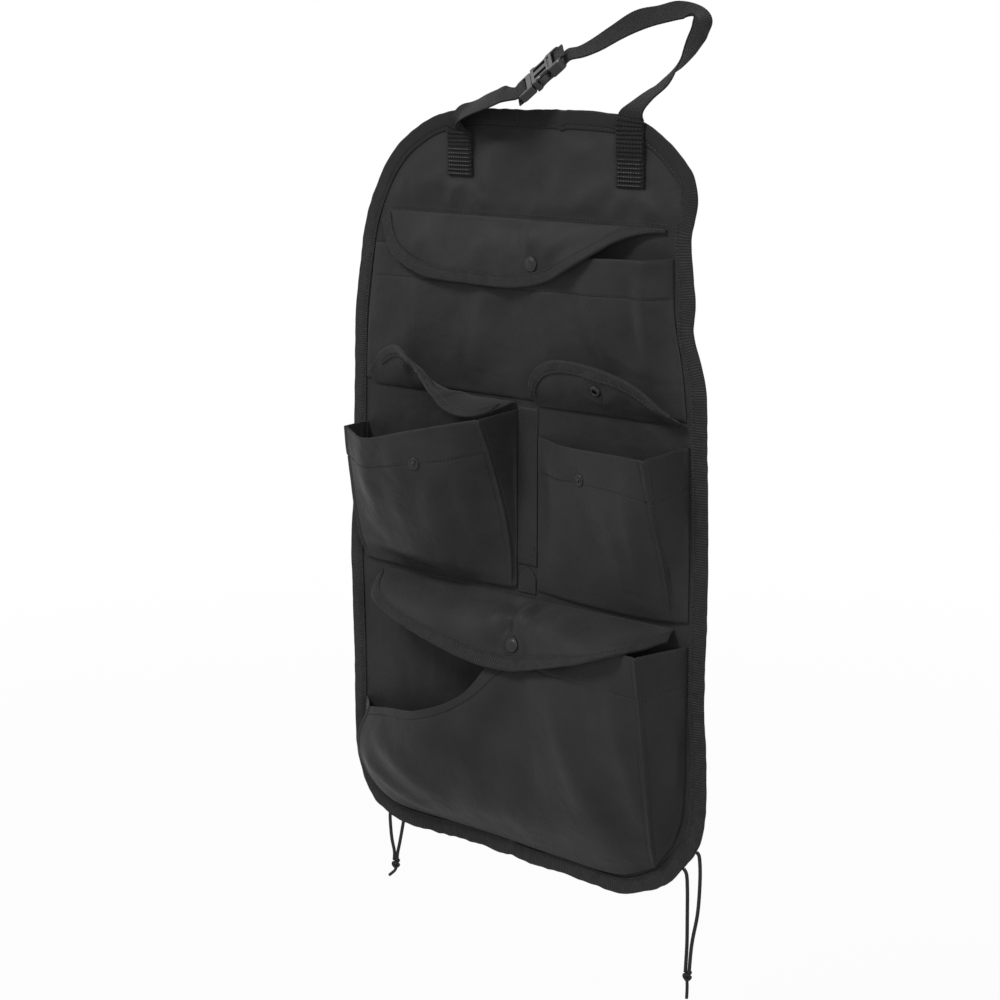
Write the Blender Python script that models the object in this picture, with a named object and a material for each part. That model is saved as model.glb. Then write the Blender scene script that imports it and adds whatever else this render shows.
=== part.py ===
# A fabric organizer that hangs on the back of a car seat: a bound panel with four pockets,
# four press-stud flaps, a webbing strap with a side-release buckle and elastic ties below.
# Frame: origin at the centre of the panel's flat back, X right seen from the front,
# +Y into the seat back (the pockets are on the -Y side) and +Z up. Sizes are in metres.
import math

import bmesh
import bpy
from mathutils import Vector

MM = 0.001

# Driving sizes
GAP = 0.3 * MM
PANEL_THICK = 1.6 * MM
PANEL_EDGE_THICK = 0.7 * MM
CLOTH_THICK = 1.2 * MM
TAPE_WIDTH = 13.0 * MM
TAPE_THICK = 0.8 * MM
FLAP_TAPE_WIDTH = 10.0 * MM
WEBBING_WIDTH = 25.0 * MM
WEBBING_THICK = 1.4 * MM
CORD_RADIUS = 1.5 * MM
BUCKLE_SLIDE_GAP = 0.4 * MM

# Sizes that follow from them
PANEL_FRONT = -PANEL_THICK
CLOTH_ON_PANEL = PANEL_FRONT - GAP - CLOTH_THICK / 2
TAPE_FRONT = PANEL_FRONT - GAP - TAPE_THICK

# Outline of the panel as X, Z in millimetres, clockwise from the middle of the top edge
PANEL_OUTLINE = [
    (0, 317), (50, 318), (99, 316), (121, 311), (141, 300), (156, 287), (168, 273), (172, 256),
    (170, 240), (167, 225), (169, 200), (172, 177), (171, 155), (178, 132), (184, 109), (186, 60),
    (188, 0), (189, -56), (188, -135), (191, -180), (192, -222), (190, -244), (184, -262),
    (172, -279), (157, -296), (140, -307), (122, -315), (100, -318), (60, -316), (20, -317),
    (-20, -315), (-60, -314), (-100, -316), (-136, -315), (-155, -310), (-168, -302), (-180, -286),
    (-188, -262), (-190, -230), (-190, -177), (-191, -120), (-192, -67), (-188, -20), (-186, 40),
    (-184, 95), (-182, 143), (-176, 183), (-168, 222), (-153, 256), (-134, 282), (-112, 299),
    (-86, 311), (-50, 317),
]


def material(name, colour, roughness):
    """A plain Principled material of its own for each node."""
    made = bpy.data.materials.new(name)
    made.use_nodes = True
    shader = made.node_tree.nodes["Principled BSDF"]
    shader.inputs["Base Color"].default_value = (*colour, 1.0)
    shader.inputs["Roughness"].default_value = roughness
    return made


FABRIC = ((0.030, 0.031, 0.034), 0.85)
TAPE = ((0.016, 0.016, 0.018), 0.8)
WEBBING = ((0.018, 0.018, 0.020), 0.75)
PLASTIC = ((0.020, 0.020, 0.022), 0.35)
STUD = ((0.030, 0.030, 0.032), 0.4)
ELASTIC = ((0.014, 0.014, 0.015), 0.8)


def solid(name, points, faces, look):
    """One closed body from points and faces, with every normal facing out."""
    mesh = bpy.data.meshes.new(name)
    shape = bmesh.new()
    made = [shape.verts.new(point) for point in points]
    for face in faces:
        shape.faces.new([made[index] for index in face])
    bmesh.ops.recalc_face_normals(shape, faces=shape.faces)
    if shape.calc_volume(signed=True) < 0:
        bmesh.ops.reverse_faces(shape, faces=shape.faces)
    shape.to_mesh(mesh)
    shape.free()
    made_object = bpy.data.objects.new(name, mesh)
    mesh.materials.append(material(name, *look))
    bpy.context.scene.collection.objects.link(made_object)
    return made_object


def spline(points, t, corners=()):
    """A point on the smooth curve through points, t from 0 to 1, kept sharp at the corners."""
    last = len(points) - 1
    place = min(max(t, 0.0), 1.0) * last
    low = min(int(place), last - 1)
    step = place - low
    start, end = Vector(points[low]), Vector(points[low + 1])
    before = Vector(points[low - 1]) if low > 0 and low not in corners else start * 2 - end
    ahead = low + 1
    after = Vector(points[ahead + 1]) if ahead < last and ahead not in corners else end * 2 - start
    return (start * 2 + (end - before) * step
            + (before * 2 - start * 5 + end * 4 - after) * step ** 2
            + (start * 3 - before - end * 3 + after) * step ** 3) / 2


def loft(profiles, corners=()):
    """A surface through profiles: u runs from profile to profile, v along each one."""
    def surface(u, v):
        return spline([spline(profile, v) for profile in profiles], u, corners)
    return surface


def grid(surface, columns, rows):
    """Rows of points on a surface."""
    return [[surface(i / columns, j / rows) for i in range(columns + 1)] for j in range(rows + 1)]


def normals(points):
    """The unit normal at each point of a grid."""
    rows, columns = len(points), len(points[0])
    found = []
    for j in range(rows):
        line = []
        for i in range(columns):
            along = points[j][min(i + 1, columns - 1)] - points[j][max(i - 1, 0)]
            up = points[min(j + 1, rows - 1)][i] - points[max(j - 1, 0)][i]
            line.append(along.cross(up).normalized())
        found.append(line)
    return found


def slab(name, points, thickness, look, turned_rows=()):
    """A closed sheet of even thickness around a grid of points, cut into triangles alike."""
    rows, columns = len(points), len(points[0])
    facing = normals(points)
    corners, faces = [], []
    for side in (0.5, -0.5):
        for j in range(rows):
            for i in range(columns):
                corners.append(points[j][i] + facing[j][i] * thickness * side)
    size = rows * columns
    for j in range(rows - 1):
        for i in range(columns - 1):
            a = j * columns + i
            b, c, d = a + 1, a + columns + 1, a + columns
            halves = ((a, b, d), (b, c, d)) if j in turned_rows else ((a, b, c), (a, c, d))
            for half in halves:
                faces.append(half)
                faces.append(tuple(index + size for index in reversed(half)))
    rim = [i for i in range(columns)]
    rim += [j * columns + columns - 1 for j in range(1, rows)]
    rim += [(rows - 1) * columns + i for i in range(columns - 2, -1, -1)]
    rim += [j * columns for j in range(rows - 2, 0, -1)]
    for index, a in enumerate(rim):
        b = rim[(index + 1) % len(rim)]
        faces.append((a, a + size, b + size, b))
    return solid(name, corners, faces, look)


def lathe(name, profile, centre, axis, look, segments=16):
    """A turned body: profile is radius and height in millimetres, closed at both ends."""
    turn = Vector((0, 0, 1)).rotation_difference(axis).to_matrix()
    corners, faces = [], []
    for radius, height in profile:
        for k in range(segments):
            angle = 2 * math.pi * k / segments
            local = Vector((radius * math.cos(angle), radius * math.sin(angle), height)) * MM
            corners.append(centre + turn @ local)
    ringed = profile[0] == profile[-1]
    levels = len(profile) - 1
    if ringed:
        corners = corners[:levels * segments]
    for level in range(levels):
        above = (level + 1) % levels if ringed else level + 1
        for k in range(segments):
            right = (k + 1) % segments
            faces.append((level * segments + k, level * segments + right,
                          above * segments + right, above * segments + k))
    if not ringed:
        faces.append(tuple(range(segments)))
        faces.append(tuple(levels * segments + k for k in range(segments)))
    return solid(name, corners, faces, look)


def tube(name, path, radius, look, points=10):
    """A round cord along a smooth path, as a capped curve."""
    curve = bpy.data.curves.new(name, "CURVE")
    curve.dimensions = "3D"
    curve.bevel_depth = radius
    curve.bevel_resolution = 2
    curve.use_fill_caps = True
    line = curve.splines.new("POLY")
    line.points.add(points - 1)
    for index in range(points):
        line.points[index].co = (*spline(path, index / (points - 1)), 1.0)
    made = bpy.data.objects.new(name, curve)
    curve.materials.append(material(name, *look))
    bpy.context.scene.collection.objects.link(made)
    return made


def metres(points):
    return [Vector(point) * MM for point in points]


# Start from an empty file
for old in list(bpy.data.objects):
    bpy.data.objects.remove(old, do_unlink=True)


# The panel and the tape that binds its edge
OUTLINE_STEPS = 76


def outline(count=OUTLINE_STEPS):
    """Points of the panel's outline with the direction that points inwards."""
    loop = [Vector((x, z)) * MM for x, z in PANEL_OUTLINE]
    wide = loop[-1:] + loop + loop[:2]
    dense = []
    for index in range(len(loop)):
        for part in range(8):
            four = wide[index:index + 4]
            dense.append(spline(four, (1 + part / 8) / 3))
    lengths = [0.0]
    for a, b in zip(dense, dense[1:] + dense[:1]):
        lengths.append(lengths[-1] + (b - a).length)
    even = []
    place = 0
    for k in range(count):
        wanted = lengths[-1] * k / count
        while lengths[place + 1] < wanted:
            place += 1
        share = (wanted - lengths[place]) / (lengths[place + 1] - lengths[place])
        even.append(dense[place].lerp(dense[(place + 1) % len(dense)], share))
    inwards = []
    for k in range(count):
        along = (even[(k + 1) % count] - even[k - 1]).normalized()
        inwards.append(Vector((along.y, -along.x)))
    return list(zip(even, inwards))


EDGE = outline()


def rings(levels):
    """A closed body of rings around the outline: each level is inset, Y and share to the middle."""
    corners, faces = [], []
    for inset, depth, share in levels:
        for point, inward in EDGE:
            place = (point + inward * inset) * (1 - share)
            corners.append(Vector((place.x, depth, place.y)))
    count = len(EDGE)
    for level in range(len(levels) - 1):
        for k in range(count):
            right = (k + 1) % count
            faces.append((level * count + k, level * count + right,
                          (level + 1) * count + right, (level + 1) * count + k))
    return corners, faces, count


def back_panel():
    """The flat panel, pressed thinner where the tape holds its edge."""
    edge_back = PANEL_FRONT + PANEL_EDGE_THICK
    under = TAPE_WIDTH + GAP
    levels = [(under + 1 * MM, 0, 0.7), (under + 1 * MM, 0, 0.35), (under + 1 * MM, 0, 0),
              (under, edge_back, 0), (0, edge_back, 0), (0, PANEL_FRONT, 0),
              (under, PANEL_FRONT, 0), (under, PANEL_FRONT, 0.6)]
    corners, faces, count = rings(levels)
    for first, depth in ((0, 0.0), ((len(levels) - 1) * count, PANEL_FRONT)):
        middle = len(corners)
        corners.append(Vector((0, depth, 0)))
        for k in range(count):
            faces.append((middle, first + k, first + (k + 1) % count))
    return solid("back_panel", corners, faces, FABRIC)


def edge_binding():
    """The tape folded over the panel's edge, flush with the panel's back."""
    edge_back = PANEL_FRONT + PANEL_EDGE_THICK
    out = GAP + TAPE_THICK
    levels = [(TAPE_WIDTH, 0, 0), (0, 0, 0), (-out, -0.6 * MM, 0), (-out, TAPE_FRONT + 0.5 * MM, 0),
              (0.6 * MM, TAPE_FRONT, 0), (TAPE_WIDTH, TAPE_FRONT, 0),
              (TAPE_WIDTH, PANEL_FRONT - GAP, 0), (-GAP, PANEL_FRONT - GAP, 0),
              (-GAP, edge_back + GAP, 0), (TAPE_WIDTH, edge_back + GAP, 0)]
    corners, faces, count = rings(levels)
    last = (len(levels) - 1) * count
    for k in range(count):
        right = (k + 1) % count
        faces.append((last + k, last + right, right, k))
    return solid("edge_binding", corners, faces, TAPE)


back_panel()
edge_binding()


# Pockets: each is one folded sheet, sewn to the panel along its sides and bottom
ON = CLOTH_ON_PANEL / MM

TOP_POCKET = loft([metres(profile) for profile in [
    [(-170, ON, 86), (-168, ON, 125), (-163, ON, 165), (-157, ON, 203)],
    [(-120, ON, 86), (-120, -3.6, 125), (-120, -4.6, 165), (-120, -5.0, 205)],
    [(-55, ON, 86), (-55, -4.2, 125), (-55, -5.2, 165), (-55, -6.0, 205)],
    [(10, ON, 86), (10, -4.6, 125), (10, -6.2, 165), (10, -7.2, 204)],
    [(60, ON, 86), (60, -4.8, 125), (60, -8.0, 165), (60, -9.0, 205)],
    [(105, ON, 86), (105, -5.2, 125), (105, -14.0, 165), (105, -19.0, 208)],
    [(140, ON, 86), (138, -5.4, 125), (136, -16.5, 165), (137, -21.0, 209)],
    [(168, ON, 86), (163, ON, 125), (155, ON, 165), (153, ON, 210)],
]], corners=(6,))

MID_LEFT_POCKET = loft([metres(profile) for profile in [
    [(-173, ON, -74), (-174, ON, -34), (-173, ON, 6), (-171, ON, 46)],
    [(-171, -4.0, -75), (-166, -21, -34), (-158, -38, 8), (-150, -50, 51)],
    [(-118, -4.5, -77), (-118, -32, -34), (-116, -55, 6), (-113, -66, 48)],
    [(-68, -4.5, -77), (-68, -36, -34), (-69, -58, 10), (-70, -69, 58)],
    [(-32, -4.5, -76), (-32, -24, -34), (-32, -46, 14), (-31, -62, 67)],
    [(-4.5, -4.2, -75), (-4.5, -9, -34), (-4.5, -25, 20), (-5, -48, 73)],
    [(-1, ON, -74), (-1, ON, -30), (-1, ON, 20), (-1, ON, 76)],
]], corners=(1, 5))

MID_RIGHT_POCKET = loft([metres(profile) for profile in [
    [(22, ON, -74), (22, ON, -32), (22, ON, 10), (22, ON, 56)],
    [(60, -4.0, -76), (60, -9, -32), (60, -16, 12), (60, -22, 57)],
    [(100, -4.5, -77), (100, -15, -32), (100, -28, 12), (101, -36, 59)],
    [(135, -4.5, -77), (135, -17, -32), (135, -34, 10), (136, -45, 61)],
    [(159, -4.5, -75), (159.5, -16, -34), (160, -30, 4), (161, -49, 62)],
    [(173, ON, -74), (173, ON, -32), (172, ON, 10), (171, ON, 66)],
]], corners=(4,))

LOWER_POCKET = loft([metres(profile) for profile in [
    [(-167, ON, -276), (-174, ON, -252), (-176, ON, -230), (-176, ON, -207)],
    [(-156, -6, -291), (-161, -25, -262), (-158, -34, -233), (-145, -32, -203)],
    [(-132, -6, -299), (-134, -32, -268), (-128, -44, -231), (-108, -43, -194)],
    [(-75, -6, -299), (-75, -36, -266), (-74, -50, -226), (-66, -52, -184)],
    [(-28, -6, -299), (-28, -36, -262), (-27, -46, -212), (-23, -43, -161)],
    [(10, -6, -300), (10, -34, -256), (11, -36, -180), (15, -24, -103)],
    [(52, -6, -301), (52, -34, -252), (52, -40, -180), (52, -27, -99)],
    [(110, -6, -300), (110, -33, -250), (110, -45, -176), (110, -44, -97)],
    [(147, -5, -285), (154, -22, -248), (158, -38, -176), (157, -50, -95)],
    [(163, ON, -262), (172, ON, -230), (173, ON, -160), (173, ON, -94)],
]], corners=(1, 8))


# The strip between the two middle pockets, and the small tab below it
def plate(name, corners, depth, thickness, look):
    """A flat outline in X and Z, given a thickness towards the front."""
    count = len(corners)
    points = [Vector((x * MM, y, z * MM)) for y in (depth, depth - thickness) for x, z in corners]
    faces = [tuple(range(count)), tuple(range(count, 2 * count))]
    faces += [(k, (k + 1) % count, (k + 1) % count + count, k + count) for k in range(count)]
    return solid(name, points, faces, look)


plate("centre_strip", [(0.2, -54), (20.6, -54), (20.6, 79), (0.2, 79)],
      PANEL_FRONT - GAP, CLOTH_THICK, FABRIC)
plate("seam_tab", [(1.5, -78), (19.5, -78), (19.5, -66), (17, -60), (12, -56.5), (9, -56.5),
                   (4, -60), (1.5, -66)], PANEL_FRONT - GAP, CLOTH_THICK, FABRIC)


# Flaps: each hangs from a seam and carries a bound free edge. Every profile runs from the
# seam past a middle point to the free edge; the seam's own place is given by its X alone.
def flap(seam_z, profiles):
    rows = []
    for seam_x, middle, edge in profiles:
        rows.append(metres([(seam_x, ON - 0.5, seam_z), middle, edge]))
    return loft(rows)


TOP_FLAP = flap(232, [
    (-140, (-142, -4.4, 228), (-145, -5.8, 224)),
    (-118, (-127, -6.5, 219), (-137, -9, 206)),
    (-95, (-108, -9, 211), (-122, -11, 192)),
    (-70, (-80, -10, 206), (-92, -12, 181)),
    (-38, (-42, -11, 204), (-48, -12.5, 179)),
    (0, (2, -12, 204), (4, -14, 179)),
    (32, (36, -12.5, 208), (40, -16, 187)),
    (66, (69, -13, 216), (72, -20, 203)),
    (95, (97, -9.5, 225), (100, -16, 218)),
    (122, (123, -5.5, 228), (124, -8, 224)),
    (146, (147, -4.2, 228.5), (148, -5.2, 225)),
])

MID_LEFT_FLAP = flap(82, [
    (-160, (-160, -7, 87), (-160, -11, 93)),
    (-140, (-141, -11, 96), (-142, -16, 110)),
    (-114, (-115, -17, 102), (-116, -26, 120)),
    (-92, (-92, -22, 100), (-92, -36, 114)),
    (-74, (-72, -24, 94), (-70, -43, 101)),
    (-56, (-53, -27, 87), (-50, -49, 86)),
    (-38, (-35, -27, 83), (-32, -50, 77)),
    (-20, (-18, -24, 82), (-15, -45, 75)),
    (-8, (-7, -15, 82), (-6, -29, 78)),
    (-2.5, (-2.5, -8, 82), (-2.5, -15, 81)),
])

MID_RIGHT_FLAP = flap(82, [
    (22, (20.5, -7, 87), (19, -11, 92)),
    (34, (30, -12, 95), (25, -16, 106)),
    (50, (44, -16, 101), (38, -20, 118)),
    (66, (62, -18, 104), (58, -24, 124)),
    (88, (86, -18.5, 104), (85, -25, 123)),
    (112, (112, -18, 101), (112, -24, 118)),
    (134, (135, -15.5, 96), (136, -21, 108)),
    (150, (152, -12, 89), (154, -18, 95)),
    (168, (168, -7, 84), (168, -11, 86)),
])

LOWER_FLAP = flap(-82, [
    (-150, (-151, -7.5, -86), (-152, -12, -91)),
    (-128, (-130, -24, -92), (-132, -38, -100)),
    (-98, (-98, -30, -97), (-98, -45, -112)),
    (-62, (-61, -30, -99), (-60, -44, -124)),
    (-24, (-23, -31, -100), (-22, -43, -132)),
    (15, (15, -31, -99), (15, -41, -135)),
    (46, (46, -34, -97), (46, -43, -127)),
    (76, (76, -40, -94), (76, -51, -117)),
    (106, (106, -46, -91), (106, -58, -107)),
    (134, (134, -44, -88), (134, -58, -96)),
    (150, (151, -26, -86), (152, -38, -92)),
    (160, (161, -9, -84.5), (162, -14, -88)),
])


def flattened(surface, centre, normal, inner=14 * MM, outer=36 * MM):
    """The same surface, pressed flat onto a plane around one place."""
    def pressed(u, v):
        point = surface(u, v)
        away = point - centre
        rise = away.dot(normal)
        flat = (away - normal * rise).length
        share = min(max((outer - flat) / (outer - inner), 0.0), 1.0)
        if abs(rise) > 30 * MM:
            share = 0.0
        return point - normal * rise * share * share * (3 - 2 * share)
    return pressed


def nearest(surface, x, z):
    """Where a surface passes X, Z (in millimetres): its u and v."""
    best = None
    for i in range(121):
        for j in range(61):
            point = surface(i / 120, j / 60)
            away = (point.x - x * MM) ** 2 + (point.z - z * MM) ** 2
            if best is None or away < best[0]:
                best = (away, i / 120, j / 60)
    return best[1], best[2]


def facing_front(surface, u, v):
    """A point of a surface and its unit normal on the -Y side."""
    step = 0.03
    along = surface(min(u + step, 1), v) - surface(max(u - step, 0), v)
    up = surface(u, min(v + step, 1)) - surface(u, max(v - step, 0))
    normal = along.cross(up).normalized()
    return surface(u, v), (normal if normal.y < 0 else -normal)


# Press studs: cap and socket on a flap, stud and rivet post on the pocket below it
CAP = [(0.01, 0.0), (6.1, 0.0), (6.2, 0.6), (5.6, 1.3), (4.2, 1.6), (3.4, 1.2), (0.01, 1.1)]
SOCKET = [(2.3, 0.0), (5.2, 0.0), (5.2, 0.9), (3.9, 1.7), (2.3, 1.7), (2.3, 0.0)]
STUD_SHAPE = [(0.01, 0.0), (5.2, 0.0), (5.2, 0.5), (4.2, 0.8), (1.9, 0.8), (1.7, 1.5), (1.9, 2.0),
              (1.4, 2.4), (0.01, 2.4)]
POST = [(0.01, 0.0), (5.0, 0.0), (5.0, 0.5), (4.4, 0.8), (0.01, 0.8)]
STUD_BASE = 0.8 * MM
SOCKET_DEPTH = 1.7 * MM
SEAT_EASE = 0.1 * MM
SHEET_TO_PIECE = CLOTH_THICK / 2 + GAP + SEAT_EASE
SNAP_STACK = 2 * SHEET_TO_PIECE + STUD_BASE + GAP + SOCKET_DEPTH


def snap_on(surface, x, z, inner=14 * MM, outer=36 * MM):
    """Presses a sheet flat where a press stud sits: the new surface, the place and its normal."""
    place, front = facing_front(surface, *nearest(surface, x, z))
    return flattened(surface, place, front, inner, outer), place, front


def turned(name, shape, place, axis, lift):
    return lathe(name, shape, place + axis * lift, axis, STUD, 12)


def pocket_pieces(label, place, front):
    turned(label + "_snap_stud", STUD_SHAPE, place, front, SHEET_TO_PIECE)
    turned(label + "_snap_post", POST, place, -front, SHEET_TO_PIECE)


TOP_POCKET, top_at, top_front = snap_on(TOP_POCKET, 20, 198)
MID_LEFT_POCKET, left_at, left_front = snap_on(MID_LEFT_POCKET, -62, 32)
MID_RIGHT_POCKET, right_at, right_front = snap_on(MID_RIGHT_POCKET, 83, 33)
LOWER_POCKET, low_at, low_front = snap_on(LOWER_POCKET, 17, -117)
TOP_FLAP = flattened(TOP_FLAP, top_at + top_front * SNAP_STACK, top_front)
LOWER_FLAP = flattened(LOWER_FLAP, low_at + low_front * SNAP_STACK, low_front)
MID_LEFT_FLAP, left_flap_at, left_flap_front = snap_on(MID_LEFT_FLAP, -88, 101, 9 * MM, 26 * MM)
MID_RIGHT_FLAP, right_flap_at, right_flap_front = snap_on(MID_RIGHT_FLAP, 92, 104, 10 * MM, 18 * MM)

slab("top_pocket", grid(TOP_POCKET, 21, 6), CLOTH_THICK, FABRIC)
slab("mid_left_pocket", grid(MID_LEFT_POCKET, 24, 8), CLOTH_THICK, FABRIC)
slab("mid_right_pocket", grid(MID_RIGHT_POCKET, 20, 8), CLOTH_THICK, FABRIC)
slab("lower_pocket", grid(LOWER_POCKET, 36, 9), CLOTH_THICK, FABRIC)


def bound_flap(name, surface, columns, unbound=0):
    """A flap and the tape folded over its free edge, both built on the same grid."""
    rows = [[] for level in range(6)]
    for i in range(columns + 1):
        u = i / columns
        length = sum((surface(u, k / 8) - surface(u, (k + 1) / 8)).length for k in range(8))
        lip = min(FLAP_TAPE_WIDTH / length, 0.8)
        for row, v in zip(rows, (0, (1 - lip) / 2, 1 - lip, 1 - lip * 0.66, 1 - lip * 0.33, 1)):
            row.append(surface(u, v))
    slab(name, rows, CLOTH_THICK, FABRIC)
    facing = normals(rows)
    offset = CLOTH_THICK / 2 + GAP + TAPE_THICK / 2 + 0.2 * MM
    folded = []
    for i in range(unbound, columns + 1 - unbound):
        outward = (rows[5][i] - rows[4][i]).normalized()
        line = [rows[level][i] + facing[level][i] * offset for level in (2, 3, 4, 5)]
        line.append(rows[5][i] + outward * offset)
        line += [rows[level][i] - facing[level][i] * offset for level in (5, 4, 3, 2)]
        folded.append(line)
    slab(name + "_binding", folded, TAPE_THICK, TAPE, turned_rows=(5, 6, 7))


bound_flap("top_flap", TOP_FLAP, 20)
bound_flap("mid_left_flap", MID_LEFT_FLAP, 18, unbound=2)
bound_flap("mid_right_flap", MID_RIGHT_FLAP, 16, unbound=1)
bound_flap("lower_flap", LOWER_FLAP, 22)

pocket_pieces("top", top_at, top_front)
pocket_pieces("mid_left", left_at, left_front)
pocket_pieces("mid_right", right_at, right_front)
pocket_pieces("lower", low_at, low_front)
for label, place, front in (("top", top_at, top_front), ("lower", low_at, low_front)):
    turned(label + "_snap_socket", SOCKET, place, front, SHEET_TO_PIECE + STUD_BASE + GAP)
    turned(label + "_snap_cap", CAP, place, front, SNAP_STACK + SHEET_TO_PIECE)
for label, place, front in (("mid_left", left_flap_at, left_flap_front),
                            ("mid_right", right_flap_at, right_flap_front)):
    turned(label + "_snap_socket", SOCKET, place, front, SHEET_TO_PIECE)
    turned(label + "_snap_cap", CAP, place, -front, SHEET_TO_PIECE)


# The side-release buckle: its own axes run along the strap, across it and out of its face
ALONG = Vector((0.667, 0.333, 0.667)).normalized()
ACROSS = Vector((-0.70, 0.67, 0.25))
ACROSS = (ACROSS - ALONG * ACROSS.dot(ALONG)).normalized()
FACE = ALONG.cross(ACROSS).normalized()
BUCKLE_AT = Vector((22, -10, 341)) * MM
CAVITY_HALF = 2.6 * MM
SLOT_HALF_WIDTH = WEBBING_WIDTH / 2 + 0.7 * MM


def on_buckle(a, w, n):
    """A point given in metres along, across and out of the buckle."""
    return BUCKLE_AT + ALONG * a + ACROSS * w + FACE * n


def prism(name, outline_points, low, high, look=PLASTIC, chamfer=0.0):
    """A buckle outline (along, across in millimetres) between two heights, at the origin."""
    count = len(outline_points)
    middle = Vector((sum(p[0] for p in outline_points), sum(p[1] for p in outline_points))) / count
    points = []
    levels = [(low, chamfer), (low + chamfer, 0), (high - chamfer, 0), (high, chamfer)]
    if chamfer == 0:
        levels = [(low, 0), (high, 0)]
    for height, inset in levels:
        for a, w in outline_points:
            towards = (middle - Vector((a, w))).normalized() * inset / MM
            points.append(Vector(((a + towards.x) * MM, (w + towards.y) * MM, height)))
    faces = [tuple(range(count)), tuple(range((len(levels) - 1) * count, len(levels) * count))]
    for level in range(len(levels) - 1):
        for k in range(count):
            right = (k + 1) % count
            faces.append((level * count + k, level * count + right,
                          (level + 1) * count + right, (level + 1) * count + k))
    return solid(name, points, faces, look)


def box(name, a0, a1, w0, w1, n0, n1):
    return prism(name, [(a0, w0), (a1, w0), (a1, w1), (a0, w1)], n0 * MM, n1 * MM)


def combine(target, others, operation):
    """Joins or cuts solids into target and leaves one mesh behind."""
    for other in others:
        step = target.modifiers.new("step", "BOOLEAN")
        step.operation = operation
        step.solver = "EXACT"
        step.object = other
        bpy.context.view_layer.update()
        shown = target.evaluated_get(bpy.context.evaluated_depsgraph_get())
        mesh = bpy.data.meshes.new_from_object(shown)
        target.modifiers.clear()
        target.data = mesh
        bpy.data.objects.remove(other, do_unlink=True)


def place_on_strap(target):
    """Moves a finished buckle piece from the origin to its place on the strap."""
    for vertex in target.data.vertices:
        vertex.co = on_buckle(*vertex.co)


def mirrored(half):
    return half + [(a, -w) for a, w in reversed(half)]


slot_w = SLOT_HALF_WIDTH / MM
cavity = CAVITY_HALF / MM
socket_body = prism("buckle_socket", mirrored(
    [(0, 15.6), (1.2, 16.8), (4.2, 16.8), (6.0, 14.2), (8.5, 13.4), (12.5, 13.4), (15.4, 14.2),
     (17.4, 16.8), (26, 16.8), (28.6, 15.6), (30, 13)]), -4.4 * MM, 4.4 * MM, chamfer=0.9 * MM)
combine(socket_body, [
    box("cut", -1, 20.5, -12.6, 12.6, -cavity, cavity),
    box("cut", 5.0, 16.4, -19, -11, 0.1 - cavity, cavity - 0.1),
    box("cut", 5.0, 16.4, 11, 19, 0.1 - cavity, cavity - 0.1),
    box("cut", 22.2, 26.0, -slot_w, slot_w, -6, 6),
    box("cut", 25.0, 32.0, -slot_w, slot_w, 1.7, 7),
    box("cut", 25.0, 32.0, -slot_w, slot_w, -7, -1.7),
], "DIFFERENCE")
place_on_strap(socket_body)

plug_body = prism("buckle_plug", mirrored(
    [(-0.6, 15.0), (-1.8, 16.4), (-11, 16.4), (-14, 15.2), (-15.4, 12.6)]),
    -3.4 * MM, 3.4 * MM, chamfer=0.7 * MM)
combine(plug_body, [
    box("cut", -9.6, -5.6, -slot_w, slot_w, -6, 6),
    box("cut", -17.0, -9.0, -slot_w, slot_w, 1.7, 7),
    box("cut", -17.0, -9.0, -slot_w, slot_w, -7, -1.7),
], "DIFFERENCE")
prong_half = cavity - BUCKLE_SLIDE_GAP / MM
PRONG = [(-2, 8.4), (4.4, 9.4), (5.6, 14.4), (9, 15.2), (13, 13.8), (16.6, 11.2), (18.4, 8.8),
         (16.8, 7.4), (12.4, 9.2), (8, 8.0), (4.4, 6.6), (-2, 5.4)]
combine(plug_body, [
    prism("prong", PRONG, -prong_half * MM, prong_half * MM),
    prism("prong", [(a, -w) for a, w in PRONG], -prong_half * MM, prong_half * MM),
    box("tongue", -2, 16, -2.4, 2.4, -prong_half, prong_half),
], "UNION")
place_on_strap(plug_body)


# The webbing: each ribbon is given by its middle line and the direction across its width
def ribbon(name, stations, columns):
    """A webbing strap through stations of place and width direction, in millimetres."""
    path = metres([place for place, across in stations])
    widths = [Vector(across) for place, across in stations]
    rows = []
    for i in range(columns + 1):
        t = i / columns
        middle = spline(path, t)
        ahead = spline(path, min(t + 0.004, 1)) - spline(path, max(t - 0.004, 0))
        across = spline(widths, t)
        across = (across - ahead * across.dot(ahead) / ahead.length_squared).normalized()
        rows.append([middle + across * WEBBING_WIDTH / 2 * side for side in (-1, 0, 1)])
    return slab(name, rows, WEBBING_THICK, WEBBING)


def buckle_station(a, n):
    return (tuple(on_buckle(a * MM, 0, n * MM) / MM), tuple(ACROSS))


WEB_ON_PANEL = (PANEL_FRONT - GAP - WEBBING_THICK / 2) / MM
WEB_ON_TAPE = (TAPE_FRONT - GAP - WEBBING_THICK / 2) / MM

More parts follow.
